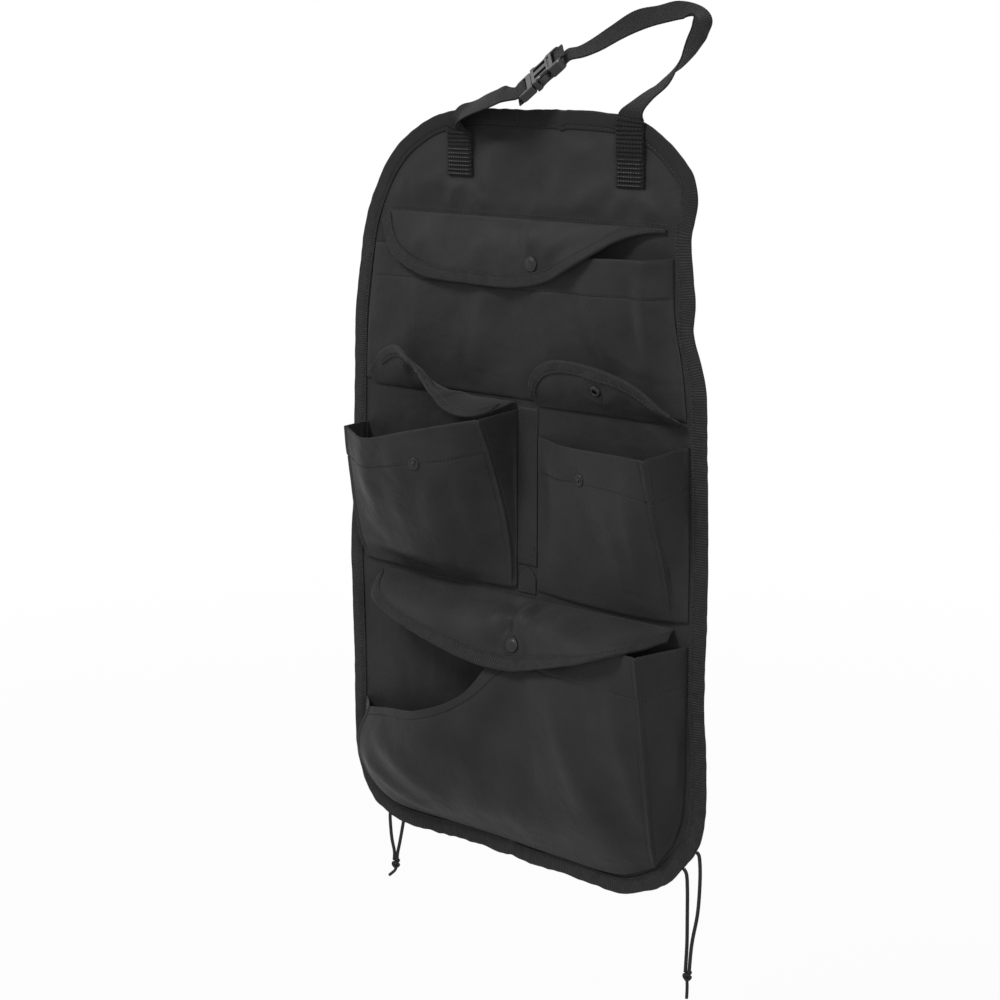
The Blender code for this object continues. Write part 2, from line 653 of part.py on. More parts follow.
right_stations = [
    ((112, WEB_ON_PANEL, 262), (-1, 0, 0)),
    ((112, WEB_ON_PANEL, 271), (-1, 0, 0)),
    ((112, WEB_ON_PANEL, 280), (-1, 0, 0)),
    ((112, WEB_ON_TAPE - 0.3, 289), (-1, 0, 0)),
    ((112, WEB_ON_TAPE - 0.3, 300), (-1, 0, 0)),
    ((112, WEB_ON_TAPE - 0.3, 311), (-1, 0, 0)),
    ((112.5, WEB_ON_TAPE - 0.3, 321), (-1, 0.1, 0)),
    ((117, 4, 331), (-0.93, 0.35, 0.07)),
    ((122, 17, 340), (-0.84, 0.53, 0.02)),
    ((125, 29, 348), (-0.70, 0.70, -0.10)),
    ((128, 40, 358), (-0.42, 0.89, -0.15)),
    ((131, 48, 369), (-0.15, 0.98, -0.02)),
    ((133, 55, 380), (-0.08, 0.98, 0.05)),
    ((131, 60, 389), (-0.22, 0.93, 0.20)),
    ((122, 61, 394), (-0.42, 0.80, 0.42)),
    ((110, 57, 395), (-0.55, 0.64, 0.54)),
    ((98, 51, 392), (-0.62, 0.60, 0.51)),
    ((85, 42, 388), (-0.67, 0.5, 0.55)),
    ((73, 30, 379), (-0.80, 0.48, 0.36)),
    ((62, 18, 371), (-0.80, 0.50, 0.33)),
    buckle_station(41, 3.4),
    buckle_station(35, 3.3),
    buckle_station(29.5, 3.0),
    buckle_station(26.0, 2.75),
    buckle_station(24.5, 2.1),
    buckle_station(24.0, 0),
    buckle_station(24.5, -2.1),
    buckle_station(26.0, -2.75),
    buckle_station(29.5, -3.0),
    buckle_station(35, -1.2),
    buckle_station(41, 0.3),
]
ribbon("strap_right", right_stations, 60)

left_stations = [
    ((-61, WEB_ON_PANEL, 264), (-1, 0, 0)),
    ((-61, WEB_ON_PANEL, 273), (-1, 0, 0)),
    ((-61, WEB_ON_PANEL, 282), (-1, 0, 0)),
    ((-61, WEB_ON_PANEL, 290), (-1, 0, 0)),
    ((-61, WEB_ON_TAPE - 0.3, 300), (-1, 0, 0)),
    ((-61, WEB_ON_TAPE - 0.3, 311), (-1, 0, 0)),
    ((-60.5, WEB_ON_TAPE - 0.8, 321), (-1, 0.05, 0.02)),
    ((-56, -8, 328), (-0.72, 0.62, 0.3)),
    ((-46, -13, 331), (-0.32, 0.86, 0.40)),
    ((-31, -18, 332), (-0.2, 0.9, 0.40)),
    ((-15, -22, 332.5), (-0.28, 0.88, 0.38)),
    ((1, -23.5, 333), (-0.52, 0.78, 0.33)),
    buckle_station(-17.5, 3.3),
    buckle_station(-13, 3.0),
    buckle_station(-9.6, 2.75),
    buckle_station(-8.1, 2.1),
    buckle_station(-7.6, 0),
    buckle_station(-8.1, -2.1),
    buckle_station(-9.6, -2.75),
    buckle_station(-13, -3.0),
    buckle_station(-19, -2.8),
    buckle_station(-25, -2.4),
]
ribbon("strap_left", left_stations, 42)


# Elastic ties below the panel: two strands meet in a knot, and the loop's end hangs below it
def tie(label, first, second, knot, end):
    """One elastic cord that leaves the bound edge at two places."""
    tube(label + "_cord_outer", metres(first), CORD_RADIUS, ELASTIC)
    tube(label + "_cord_inner", metres(second), CORD_RADIUS, ELASTIC)
    tube(label + "_cord_end", metres(end), CORD_RADIUS, ELASTIC, 6)
    lathe(label + "_cord_knot", [(0.6, -3.2), (2.4, -2.2), (3.3, 0), (2.6, 2.0), (0.6, 3.0)],
          Vector(knot) * MM, Vector((0, 0, 1)), ELASTIC, 10)


tie("left",
    [(-150.3, -1.4, -313.1), (-149.4, -2.5, -319), (-145, -5.5, -334), (-140.5, -7, -346),
     (-140.4, -7.5, -354.1)],
    [(-134, -1.4, -316.9), (-134.2, -2.5, -322), (-135, -5.5, -336), (-136.6, -7, -347),
     (-136.7, -7.5, -354.1)],
    (-138.5, -7.5, -357.4),
    [(-138.5, -7.5, -360.95), (-140, -7.6, -364.5), (-146, -8, -370)])
tie("right",
    [(185.7, -1.4, -262.8), (188.9, -2, -267), (190.6, -3, -285), (189, -3, -314), (184, -3, -342),
     (181.8, -3, -368.1)],
    [(173.4, -1.4, -280.2), (176.8, -2, -284.6), (178.6, -3, -298), (179, -3, -320), (179.2, -3, -344),
     (178.2, -3, -368.1)],
    (180, -3, -371.4),
    [(180, -3, -374.95), (180.3, -3, -383), (180, -3, -391)])
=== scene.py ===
# Looks of a fabric organizer that hangs on the back of a car seat: cloth with its seams, hems
# and creases, ribbed tape and webbing, a moulded buckle, press studs and elastic ties.
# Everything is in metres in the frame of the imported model: X right seen from the front,
# -Y towards the viewer and +Z up.
import math

import bmesh
import bpy
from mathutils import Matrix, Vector, noise


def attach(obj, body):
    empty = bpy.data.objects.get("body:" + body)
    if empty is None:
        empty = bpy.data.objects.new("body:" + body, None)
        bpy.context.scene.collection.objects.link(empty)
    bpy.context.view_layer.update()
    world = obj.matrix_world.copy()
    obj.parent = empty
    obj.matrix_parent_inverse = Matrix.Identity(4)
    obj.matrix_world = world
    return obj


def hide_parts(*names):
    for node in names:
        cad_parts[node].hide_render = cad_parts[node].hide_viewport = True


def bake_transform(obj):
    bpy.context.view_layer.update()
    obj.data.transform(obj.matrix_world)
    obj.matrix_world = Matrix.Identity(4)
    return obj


MM = 0.001

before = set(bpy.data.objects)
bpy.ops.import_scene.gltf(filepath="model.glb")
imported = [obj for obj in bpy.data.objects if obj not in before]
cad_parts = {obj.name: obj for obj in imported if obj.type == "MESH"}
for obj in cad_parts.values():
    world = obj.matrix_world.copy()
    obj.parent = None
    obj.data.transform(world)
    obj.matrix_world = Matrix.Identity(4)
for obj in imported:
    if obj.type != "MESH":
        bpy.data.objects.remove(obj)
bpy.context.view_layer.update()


def added(name, data):
    """An object with this data, linked to the scene."""
    made = bpy.data.objects.new(name, data)
    bpy.context.scene.collection.objects.link(made)
    return made


# Camera
AIM = Vector((-0.0214, 0, -0.0036))
AZIMUTH = math.radians(40)
ELEVATION = math.radians(12.7)
DISTANCE = 1.75
FOCAL_LENGTH = 75.24
SENSOR_WIDTH = 36

towards_camera = Vector((math.sin(AZIMUTH) * math.cos(ELEVATION),
                         -math.cos(AZIMUTH) * math.cos(ELEVATION), math.sin(ELEVATION)))
camera = added("camera", bpy.data.cameras.new("camera"))
camera.data.lens = FOCAL_LENGTH
camera.data.sensor_width = SENSOR_WIDTH
camera.location = AIM + towards_camera * DISTANCE
camera.rotation_euler = (-towards_camera).to_track_quat("-Z", "Y").to_euler()
bpy.context.scene.camera = camera


# Materials
class Graph:
    """A node tree, with short ways to add and join nodes."""

    def __init__(self, owner):
        owner.use_nodes = True
        self.owner = owner
        self.tree = owner.node_tree

    def put(self, node, inputs):
        """Gives each named input of a node a constant, or joins another node's output to it."""
        for key, value in inputs.items():
            if isinstance(value, bpy.types.NodeSocket):
                self.tree.links.new(value, node.inputs[key])
            else:
                node.inputs[key].default_value = value

    def node(self, kind, inputs, **values):
        """Adds a node and gives back its outputs."""
        made = self.tree.nodes.new(kind)
        for key, value in values.items():
            setattr(made, key, value)
        self.put(made, inputs)
        return made.outputs

    def math(self, operation, first, second=0.0):
        return self.node("ShaderNodeMath", {0: first, 1: second}, operation=operation)[0]

    def total(self, *parts):
        """The sum of values, each given with its weight."""
        found = None
        for value, weight in parts:
            share = self.math("MULTIPLY", value, weight)
            found = share if found is None else self.math("ADD", found, share)
        return found

    def mapped(self, source):
        """A piece's UV or Object coordinates in millimetres."""
        place = self.node("ShaderNodeTexCoord", {})[source]
        return self.node("ShaderNodeMapping", {"Vector": place, "Scale": [1 / MM] * 3})[0]

    def noise(self, vector, scale, detail):
        inputs = {"Vector": vector, "Scale": scale, "Detail": detail}
        return self.node("ShaderNodeTexNoise", inputs)["Fac"]

    def ripple(self, value, pitch):
        """A smooth wave from 0 to 1 of a length in millimetres."""
        wave = self.math("SINE", self.math("MULTIPLY", value, 2 * math.pi / pitch))
        return self.math("MULTIPLY", self.math("ADD", wave, 1.0), 0.5)

    def crossed(self, operation, first, second, pitch):
        """Slanting waves both ways, as threads that cross make them."""
        rising = self.ripple(self.math("ADD", first, second), pitch)
        falling = self.ripple(self.math("SUBTRACT", first, second), pitch)
        return self.math(operation, rising, falling)

    def split(self, vector):
        return self.node("ShaderNodeSeparateXYZ", {0: vector})

    def seen_rays(self):
        """1 for the rays that show a place, directly, in a reflection or through something."""
        rays = self.node("ShaderNodeLightPath", {})
        either = self.math("MAXIMUM", rays["Is Camera Ray"], rays["Is Glossy Ray"])
        return self.math("MAXIMUM", either, rays["Is Transmission Ray"])


class Look(Graph):
    """A material's node tree and its main shader."""

    def __init__(self, name, roughness, specular, sheen=0.0):
        super().__init__(bpy.data.materials.new(name))
        self.shader = self.tree.nodes["Principled BSDF"]
        self.put(self.shader, {"Roughness": roughness, "Specular IOR Level": specular,
                               "Sheen Weight": sheen, "Sheen Roughness": 0.45})

    def colour(self, low, high, factor):
        ends = {"A": (*low, 1), "B": (*high, 1), "Factor": factor}
        mixed = self.node("ShaderNodeMix", ends, data_type="RGBA")
        self.put(self.shader, {"Base Color": mixed["Result"]})

    def relief(self, height, depth, strength):
        """A bump of a depth in millimetres."""
        inputs = {"Height": height, "Distance": depth * MM, "Strength": strength}
        bump = self.node("ShaderNodeBump", inputs)
        self.put(self.shader, {"Normal": bump["Normal"]})


def fabric_material(name):
    """Black plain-woven cloth with a faint sheen, a shade uneven as coated cloth is."""
    look = Look(name, 0.62, 0.14, 0.05)
    weave = look.crossed("MULTIPLY", *look.split(look.mapped("UV"))[:2], 1.9)
    place = look.mapped("Object")
    patches = look.noise(place, 0.022, 4)
    crumple = look.noise(place, 0.045, 3)
    threads = look.noise(place, 0.9, 2)
    look.colour((0.0050, 0.0050, 0.0054), (0.0320, 0.0322, 0.0332),
                look.total((weave, 0.45), (patches, 0.60)))
    look.relief(look.total((weave, 0.25), (crumple, 3.6), (threads, 0.12)), 1.0, 0.5)
    return look.owner


def ribbed_material(name, pitch, low, high, depth, cross=None, ribs_fade_above=None):
    """Tape or webbing with ribs across it: U runs along the piece, V across it. The colour paints shade
    into the rib hollows and highlight onto the rib crests.
    """
    look = Look(name, 0.66, 0.12, 0.05)
    along, across = look.split(look.mapped("UV"))[:2]
    place = look.mapped("Object")
    threads = look.ripple(across, 0.8)
    if cross:
        along = look.total((along, 1.0), (look.ripple(across, cross), pitch * 0.5))
    ribs = look.ripple(along, pitch)
    # Towards this height the ribs fade to a fifth: their relief and their painted shade and highlight.
    if ribs_fade_above:
        fade = {"Value": look.split(place)[2], "From Min": ribs_fade_above, "From Max": ribs_fade_above - 90,
                "To Min": 0.2}
        ribs = look.math("MULTIPLY", ribs, look.node("ShaderNodeMapRange", fade)["Result"])
    wear = look.math("MULTIPLY", look.noise(place, 0.16, 3), 1.7)
    height = look.total((look.math("MULTIPLY", ribs, wear), 1.0), (threads, 0.25))
    # Painted shade and highlight: the rib hollows take the low colour, the crests the high one.
    look.colour(low, high, look.math("MULTIPLY", height, 0.8))
    look.relief(height, depth, 0.8)
    return look.owner


def moulded_material(name, low, high, roughness):
    """Satin black plastic or lacquered metal, with fine grain and rubbed patches."""
    look = Look(name, roughness, 0.35)
    place = look.mapped("Object")
    patches = look.noise(place, 0.25, 4)
    look.colour(low, high, patches)
    look.relief(look.noise(place, 2.5, 3), 0.05, 0.5)
    rough = look.math("ADD", look.math("MULTIPLY", patches, 0.2), roughness - 0.1)
    look.put(look.shader, {"Roughness": rough})
    return look.owner


def elastic_material(name):
    """Braided black elastic."""
    look = Look(name, 0.7, 0.12, 0.05)
    x, y, z = look.split(look.mapped("Object"))
    braid = look.crossed("MAXIMUM", z, x, 1.4)
    look.colour((0.005, 0.005, 0.006), (0.022, 0.022, 0.023), braid)
    look.relief(braid, 0.3, 0.8)
    return look.owner


def thread_material(name, low, high):
    """Sewing thread, a little shinier than the cloth."""
    look = Look(name, 0.5, 0.25, 0.05)
    look.colour(low, high, look.noise(look.mapped("Object"), 0.5, 3))
    return look.owner


FABRIC = fabric_material("woven_cloth")
# The tape and webbing colours run from painted shade in the rib hollows to painted highlight on the rib
# crests.
TAPE = ribbed_material("ribbed_tape", 2.1, (0.0070, 0.0070, 0.0074), (0.027, 0.027, 0.028), 0.4,
                       ribs_fade_above=300)
WEBBING = ribbed_material("ribbed_webbing", 2.2, (0.0008, 0.0008, 0.0010), (0.012, 0.012, 0.0125), 0.8,
                          cross=3.0)
PLASTIC = moulded_material("satin_plastic", (0.008, 0.008, 0.009), (0.020, 0.020, 0.022), 0.32)
STUD = moulded_material("lacquered_metal", (0.003, 0.003, 0.0035), (0.010, 0.010, 0.011), 0.40)
ELASTIC = elastic_material("braided_elastic")
THREAD = thread_material("sewing_thread", (0.003, 0.003, 0.004), (0.030, 0.030, 0.031))
# Thread for the strap bar stitches: its pale colour is a painted highlight, the glints on the sewn
# patches.
BAR_THREAD_PAINTED_GLINTS = thread_material("bar_thread_painted_glints", (0.004, 0.004, 0.005), (0.130, 0.130, 0.134))


# Curves and surfaces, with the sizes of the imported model
PANEL_THICK = 1.6 * MM
GAP = 0.3 * MM
CLOTH_THICK = 1.2 * MM
TAPE_WIDTH = 13.0 * MM
TAPE_THICK = 0.8 * MM
FLAP_TAPE_WIDTH = 10.0 * MM
WEBBING_WIDTH = 25.0 * MM
WEBBING_THICK = 1.4 * MM
CORD_RADIUS = 1.5 * MM
HEM = 27 * MM
PANEL_FRONT = -PANEL_THICK
TAPE_FRONT = PANEL_FRONT - GAP - TAPE_THICK
CLOTH_FRONT = PANEL_FRONT - GAP - CLOTH_THICK
ON = (PANEL_FRONT - GAP - CLOTH_THICK / 2) / MM
FORWARD = Vector((0, -1, 0))


def smooth(low, high, value):
    """Rises softly from 0 at low to 1 at high."""
    share = min(max((value - low) / (high - low), 0.0), 1.0)
    return share * share * (3 - 2 * share)


def hump(distance, width):
    """A bell shape: 1 at no distance, near 0 beyond twice the width."""
    return math.exp(-(distance / width) ** 2)


def metres(points):
    return [Vector(point) * MM for point in points]


def spline(points, t, corners=()):
    """A point on the smooth curve through points, t from 0 to 1, kept sharp at the corners."""
    last = len(points) - 1
    place = min(max(t, 0.0), 1.0) * last
    low = min(int(place), last - 1)
    step = place - low
    start, end = points[low], points[low + 1]
    before = points[low - 1] if low > 0 and low not in corners else start * 2 - end
    ahead = low + 1
    after = points[ahead + 1] if ahead < last and ahead not in corners else end * 2 - start
    return (start * 2 + (end - before) * step
            + (before * 2 - start * 5 + end * 4 - after) * step ** 2
            + (start * 3 - before - end * 3 + after) * step ** 3) / 2


def loft(profiles, corners=()):
    """A surface through profiles: u runs from profile to profile, v along each one."""
    lines = [metres(profile) for profile in profiles]

    def surface(u, v):
        return spline([spline(line, v) for line in lines], u, corners)
    return surface


def flap(seam_z, profiles):
    return loft([[(seam_x, ON - 0.5, seam_z), middle, edge] for seam_x, middle, edge in profiles])


OTHER_SIDE = 30 * MM


def flattened(surface, centre, normal, inner=14 * MM, outer=36 * MM):
    """The same surface, pressed flat onto a plane around one place."""
    def pressed(u, v):
        point = surface(u, v)
        away = point - centre
        rise = away.dot(normal)
        flat = (away - normal * rise).length
        share = 0.0 if abs(rise) > OTHER_SIDE else smooth(outer, inner, flat)
        return point - normal * rise * share
    return pressed


def nearest(surface, x, z):
    """Where a surface passes X, Z (in millimetres): its u and v."""
    best = None
    for i in range(121):
        for j in range(61):
            point = surface(i / 120, j / 60)
            away = (point.x - x * MM) ** 2 + (point.z - z * MM) ** 2
            if best is None or away < best[0]:
                best = (away, i / 120, j / 60)
    return best[1], best[2]


def facing_front(surface, u, v):
    """A point of a surface and its unit normal on the -Y side."""
    step = 0.03
    along = surface(min(u + step, 1), v) - surface(max(u - step, 0), v)
    up = surface(u, min(v + step, 1)) - surface(u, max(v - step, 0))
    normal = along.cross(up).normalized()
    return surface(u, v), (normal if normal.y < 0 else -normal)


def snap_on(surface, x, z, inner=14 * MM, outer=36 * MM):
    """Presses a sheet flat where a press stud sits: the new surface, the place and its normal."""
    place, front = facing_front(surface, *nearest(surface, x, z))
    return flattened(surface, place, front, inner, outer), place, front


PANEL_OUTLINE = [
    (0, 317), (50, 318), (99, 316), (121, 311), (141, 300), (156, 287), (168, 273), (172, 256),
    (170, 240), (167, 225), (169, 200), (172, 177), (171, 155), (178, 132), (184, 109), (186, 60),
    (188, 0), (189, -56), (188, -135), (191, -180), (192, -222), (190, -244), (184, -262),
    (172, -279), (157, -296), (140, -307), (122, -315), (100, -318), (60, -316), (20, -317),
    (-20, -315), (-60, -314), (-100, -316), (-136, -315), (-155, -310), (-168, -302), (-180, -286),
    (-188, -262), (-190, -230), (-190, -177), (-191, -120), (-192, -67), (-188, -20), (-186, 40),
    (-184, 95), (-182, 143), (-176, 183), (-168, 222), (-153, 256), (-134, 282), (-112, 299),
    (-86, 311), (-50, 317),
]

TOP_POCKET = loft([
    [(-170, ON, 86), (-168, ON, 125), (-163, ON, 165), (-157, ON, 203)],
    [(-120, ON, 86), (-120, -3.6, 125), (-120, -4.6, 165), (-120, -5.0, 205)],
    [(-55, ON, 86), (-55, -4.2, 125), (-55, -5.2, 165), (-55, -6.0, 205)],
    [(10, ON, 86), (10, -4.6, 125), (10, -6.2, 165), (10, -7.2, 204)],
    [(60, ON, 86), (60, -4.8, 125), (60, -8.0, 165), (60, -9.0, 205)],
    [(105, ON, 86), (105, -5.2, 125), (105, -14.0, 165), (105, -19.0, 208)],
    [(140, ON, 86), (138, -5.4, 125), (136, -16.5, 165), (137, -21.0, 209)],
    [(168, ON, 86), (163, ON, 125), (155, ON, 165), (153, ON, 210)],
], corners=(6,))

MID_LEFT_POCKET = loft([
    [(-173, ON, -74), (-174, ON, -34), (-173, ON, 6), (-171, ON, 46)],
    [(-171, -4.0, -75), (-166, -21, -34), (-158, -38, 8), (-150, -50, 51)],
    [(-118, -4.5, -77), (-118, -32, -34), (-116, -55, 6), (-113, -66, 48)],
    [(-68, -4.5, -77), (-68, -36, -34), (-69, -58, 10), (-70, -69, 58)],
    [(-32, -4.5, -76), (-32, -24, -34), (-32, -46, 14), (-31, -62, 67)],
    [(-4.5, -4.2, -75), (-4.5, -9, -34), (-4.5, -25, 20), (-5, -48, 73)],
    [(-1, ON, -74), (-1, ON, -30), (-1, ON, 20), (-1, ON, 76)],
], corners=(1, 5))

MID_RIGHT_POCKET = loft([
    [(22, ON, -74), (22, ON, -32), (22, ON, 10), (22, ON, 56)],
    [(60, -4.0, -76), (60, -9, -32), (60, -16, 12), (60, -22, 57)],
    [(100, -4.5, -77), (100, -15, -32), (100, -28, 12), (101, -36, 59)],
    [(135, -4.5, -77), (135, -17, -32), (135, -34, 10), (136, -45, 61)],
    [(159, -4.5, -75), (159.5, -16, -34), (160, -30, 4), (161, -49, 62)],
    [(173, ON, -74), (173, ON, -32), (172, ON, 10), (171, ON, 66)],
], corners=(4,))

LOWER_POCKET = loft([
    [(-167, ON, -276), (-174, ON, -252), (-176, ON, -230), (-176, ON, -207)],
    [(-156, -6, -291), (-161, -25, -262), (-158, -34, -233), (-145, -32, -203)],
    [(-132, -6, -299), (-134, -32, -268), (-128, -44, -231), (-108, -43, -194)],
    [(-75, -6, -299), (-75, -36, -266), (-74, -50, -226), (-66, -52, -184)],
    [(-28, -6, -299), (-28, -36, -262), (-27, -46, -212), (-23, -43, -161)],
    [(10, -6, -300), (10, -34, -256), (11, -36, -180), (15, -24, -103)],
    [(52, -6, -301), (52, -34, -252), (52, -40, -180), (52, -27, -99)],
    [(110, -6, -300), (110, -33, -250), (110, -45, -176), (110, -44, -97)],
    [(147, -5, -285), (154, -22, -248), (158, -38, -176), (157, -50, -95)],
    [(163, ON, -262), (172, ON, -230), (173, ON, -160), (173, ON, -94)],
], corners=(1, 8))

TOP_FLAP = flap(232, [
    (-140, (-142, -4.4, 228), (-145, -5.8, 224)),
    (-118, (-127, -6.5, 219), (-137, -9, 206)),
    (-95, (-108, -9, 211), (-122, -11, 192)),
    (-70, (-80, -10, 206), (-92, -12, 181)),
    (-38, (-42, -11, 204), (-48, -12.5, 179)),
    (0, (2, -12, 204), (4, -14, 179)),
    (32, (36, -12.5, 208), (40, -16, 187)),
    (66, (69, -13, 216), (72, -20, 203)),
    (95, (97, -9.5, 225), (100, -16, 218)),
    (122, (123, -5.5, 228), (124, -8, 224)),
    (146, (147, -4.2, 228.5), (148, -5.2, 225)),
])

MID_LEFT_FLAP = flap(82, [
    (-160, (-160, -7, 87), (-160, -11, 93)),
    (-140, (-141, -11, 96), (-142, -16, 110)),
    (-114, (-115, -17, 102), (-116, -26, 120)),
    (-92, (-92, -22, 100), (-92, -36, 114)),
    (-74, (-72, -24, 94), (-70, -43, 101)),
    (-56, (-53, -27, 87), (-50, -49, 86)),
    (-38, (-35, -27, 83), (-32, -50, 77)),
    (-20, (-18, -24, 82), (-15, -45, 75)),
    (-8, (-7, -15, 82), (-6, -29, 78)),
    (-2.5, (-2.5, -8, 82), (-2.5, -15, 81)),
])

MID_RIGHT_FLAP = flap(82, [
    (22, (20.5, -7, 87), (19, -11, 92)),
    (34, (30, -12, 95), (25, -16, 106)),
    (50, (44, -16, 101), (38, -20, 118)),
    (66, (62, -18, 104), (58, -24, 124)),
    (88, (86, -18.5, 104), (85, -25, 123)),
    (112, (112, -18, 101), (112, -24, 118)),
    (134, (135, -15.5, 96), (136, -21, 108)),
    (150, (152, -12, 89), (154, -18, 95)),
    (168, (168, -7, 84), (168, -11, 86)),
])

LOWER_FLAP = flap(-82, [
    (-150, (-151, -7.5, -86), (-152, -12, -91)),
    (-128, (-130, -24, -92), (-132, -38, -100)),
    (-98, (-98, -30, -97), (-98, -45, -112)),
    (-62, (-61, -30, -99), (-60, -44, -124)),
    (-24, (-23, -31, -100), (-22, -43, -132)),
    (15, (15, -31, -99), (15, -41, -135)),
    (46, (46, -34, -97), (46, -43, -127)),
    (76, (76, -40, -94), (76, -51, -117)),
    (106, (106, -46, -91), (106, -58, -107)),
    (134, (134, -44, -88), (134, -58, -96)),
    (150, (151, -26, -86), (152, -38, -92)),
    (160, (161, -9, -84.5), (162, -14, -88)),
])

STUD_BASE = 0.8 * MM
SHEET_TO_PIECE = CLOTH_THICK / 2 + GAP + 0.1 * MM
SNAP_STACK = 2 * SHEET_TO_PIECE + STUD_BASE + GAP + 1.7 * MM

TOP_POCKET, top_at, top_front = snap_on(TOP_POCKET, 20, 198)
MID_LEFT_POCKET, left_at, left_front = snap_on(MID_LEFT_POCKET, -62, 32)
MID_RIGHT_POCKET, right_at, right_front = snap_on(MID_RIGHT_POCKET, 83, 33)
LOWER_POCKET, low_at, low_front = snap_on(LOWER_POCKET, 17, -117)
TOP_FLAP = flattened(TOP_FLAP, top_at + top_front * SNAP_STACK, top_front)
LOWER_FLAP = flattened(LOWER_FLAP, low_at + low_front * SNAP_STACK, low_front)
MID_LEFT_FLAP, left_flap_at, left_flap_front = snap_on(MID_LEFT_FLAP, -88, 101, 9 * MM, 26 * MM)
MID_RIGHT_FLAP, right_flap_at, right_flap_front = snap_on(MID_RIGHT_FLAP, 92, 104, 10 * MM, 18 * MM)


SNAP_PLACES = (top_at, left_at, right_at, low_at, left_flap_at, right_flap_at)


def clear_of_snaps(point):
    """0 where a press stud holds the cloth flat, 1 away from it."""
    away = min((point - place).length for place in SNAP_PLACES)
    return smooth(7 * MM, 15 * MM, away)


# Mesh building
def declare(made, nodes=(), body="panel"):
    """Says which body a piece rides on and which nodes it replaces."""
    if body:
        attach(made, body)
    if nodes:
        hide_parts(*nodes)
    return made


def show(name, points, faces, look, places=None, nodes=(), body="panel"):
    """A smooth mesh piece; places give each point its cloth coordinates."""
    mesh = bpy.data.meshes.new(name)
    mesh.from_pydata([tuple(point) for point in points], [], faces)
    if places:
        layer = mesh.uv_layers.new(name="cloth")
        for loop in mesh.loops:
            layer.data[loop.index].uv = places[loop.vertex_index]
    mesh.shade_smooth()
    mesh.materials.append(look)
    made = added(name, mesh)
    shape = bmesh.new()
    shape.from_mesh(mesh)
    bmesh.ops.recalc_face_normals(shape, faces=shape.faces)
    if shape.calc_volume(signed=True) < 0:
        bmesh.ops.reverse_faces(shape, faces=shape.faces)
    shape.to_mesh(mesh)
    shape.free()
    return declare(made, nodes, body)


def band(first, second, count):
    """Faces between two closed rings of points."""
    faces = []
    for k in range(count):
        right = (k + 1) % count
        faces.append((first + k, first + right, second + right, second + k))
    return faces


def fan(ring, middle, count):
    """Faces from a closed ring of points to one point."""
    return [(ring + k, ring + (k + 1) % count, middle) for k in range(count)]


def steps(count, dense, reach, extra):
    """Even steps from 0 to 1, with more of them near the dense places."""
    found = {round(k / count, 6) for k in range(count + 1)}
    for centre in dense:
        for k in range(-extra, extra + 1):
            place = centre + reach * k / extra
            if 0 <= place <= 1:
                found.add(round(place, 6))
    least = 0.25 / count * 0.2
    ordered = sorted(found)
    kept = [ordered[0]]
    for value in ordered[1:-1]:
        if value - kept[-1] > least:
            kept.append(value)
    kept.append(1.0)
    return kept


def closest(values, wanted):
    """The index of the value that lies closest to the wanted one."""
    return min(range(len(values)), key=lambda index: abs(values[index] - wanted))


def distances(path):
    """How far along a path each of its points lies."""
    found = [0.0]
    for a, b in zip(path, path[1:]):
        found.append(found[-1] + (b - a).length)
    return found


def grid_normals(points):
    rows, columns = len(points), len(points[0])
    found = []
    for j in range(rows):
        line = []
        for i in range(columns):
            along = points[j][min(i + 1, columns - 1)] - points[j][max(i - 1, 0)]
            up = points[min(j + 1, rows - 1)][i] - points[max(j - 1, 0)][i]
            line.append(along.cross(up).normalized())
        found.append(line)
    return found


def run_lengths(points):
    """How far each grid point lies along its row and along its column."""
    rows, columns = len(points), len(points[0])
    across = [[0.0] * columns for j in range(rows)]
    up = [[0.0] * columns for j in range(rows)]
    for j in range(rows):
        for i in range(columns):
            if i:
                across[j][i] = across[j][i - 1] + (points[j][i] - points[j][i - 1]).length
            if j:
                up[j][i] = up[j - 1][i] + (points[j][i] - points[j - 1][i]).length
    return across, up


def closed_sheet(points, thickness):
    """Points, faces and cloth coordinates of a sheet with rounded edges."""
    rows, columns = len(points), len(points[0])
    facing = grid_normals(points)
    across, up = run_lengths(points)
    size = rows * columns
    corners, places, faces = [], [], []
    for side in (0.5, -0.5):
        for j in range(rows):
            for i in range(columns):
                corners.append(points[j][i] + facing[j][i] * thickness * side)
                places.append((across[j][i], up[j][i]))
    for j in range(rows - 1):
        for i in range(columns - 1):
            a = j * columns + i
            quad = (a, a + 1, a + columns + 1, a + columns)
            faces.append(quad)
            faces.append(tuple(index + size for index in reversed(quad)))
    rim = [(0, i) for i in range(columns)] + [(j, columns - 1) for j in range(1, rows)]
    rim += [(rows - 1, i) for i in range(columns - 2, -1, -1)]
    rim += [(j, 0) for j in range(rows - 2, 0, -1)]
    middle = len(corners)
    for j, i in rim:
        inside = points[min(max(j, 1), rows - 2)][min(max(i, 1), columns - 2)]
        outward = (points[j][i] - inside).normalized()
        corners.append(points[j][i] + outward * thickness * 0.4)
        places.append((across[j][i], up[j][i]))
    for index, (j, i) in enumerate(rim):
        right = (index + 1) % len(rim)
        a, b = j * columns + i, rim[right][0] * columns + rim[right][1]
        faces.append((a, middle + index, middle + right, b))
        faces.append((a + size, b + size, middle + right, middle + index))
    return corners, faces, places


def cloth_sheet(points, with_pieces):
    """Measures the width and length that a sheet's unfolded grid spans and walks over its quads; nothing
    is kept or declared.
    """
    across, up = run_lengths(points)
    width = max(line[-1] for line in across)
    length = max(up[-1])
    for low, high in zip(points, points[1:]):
        for a, b, c, d in zip(low, low[1:], high[1:], high):
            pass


def rough(point, size, seed):
    """Smooth noise from -1 to 1 with features of a size in millimetres."""
    return noise.noise(point / (size * MM) + Vector((seed * 13.7, seed * 5.1, seed * 3.3)))


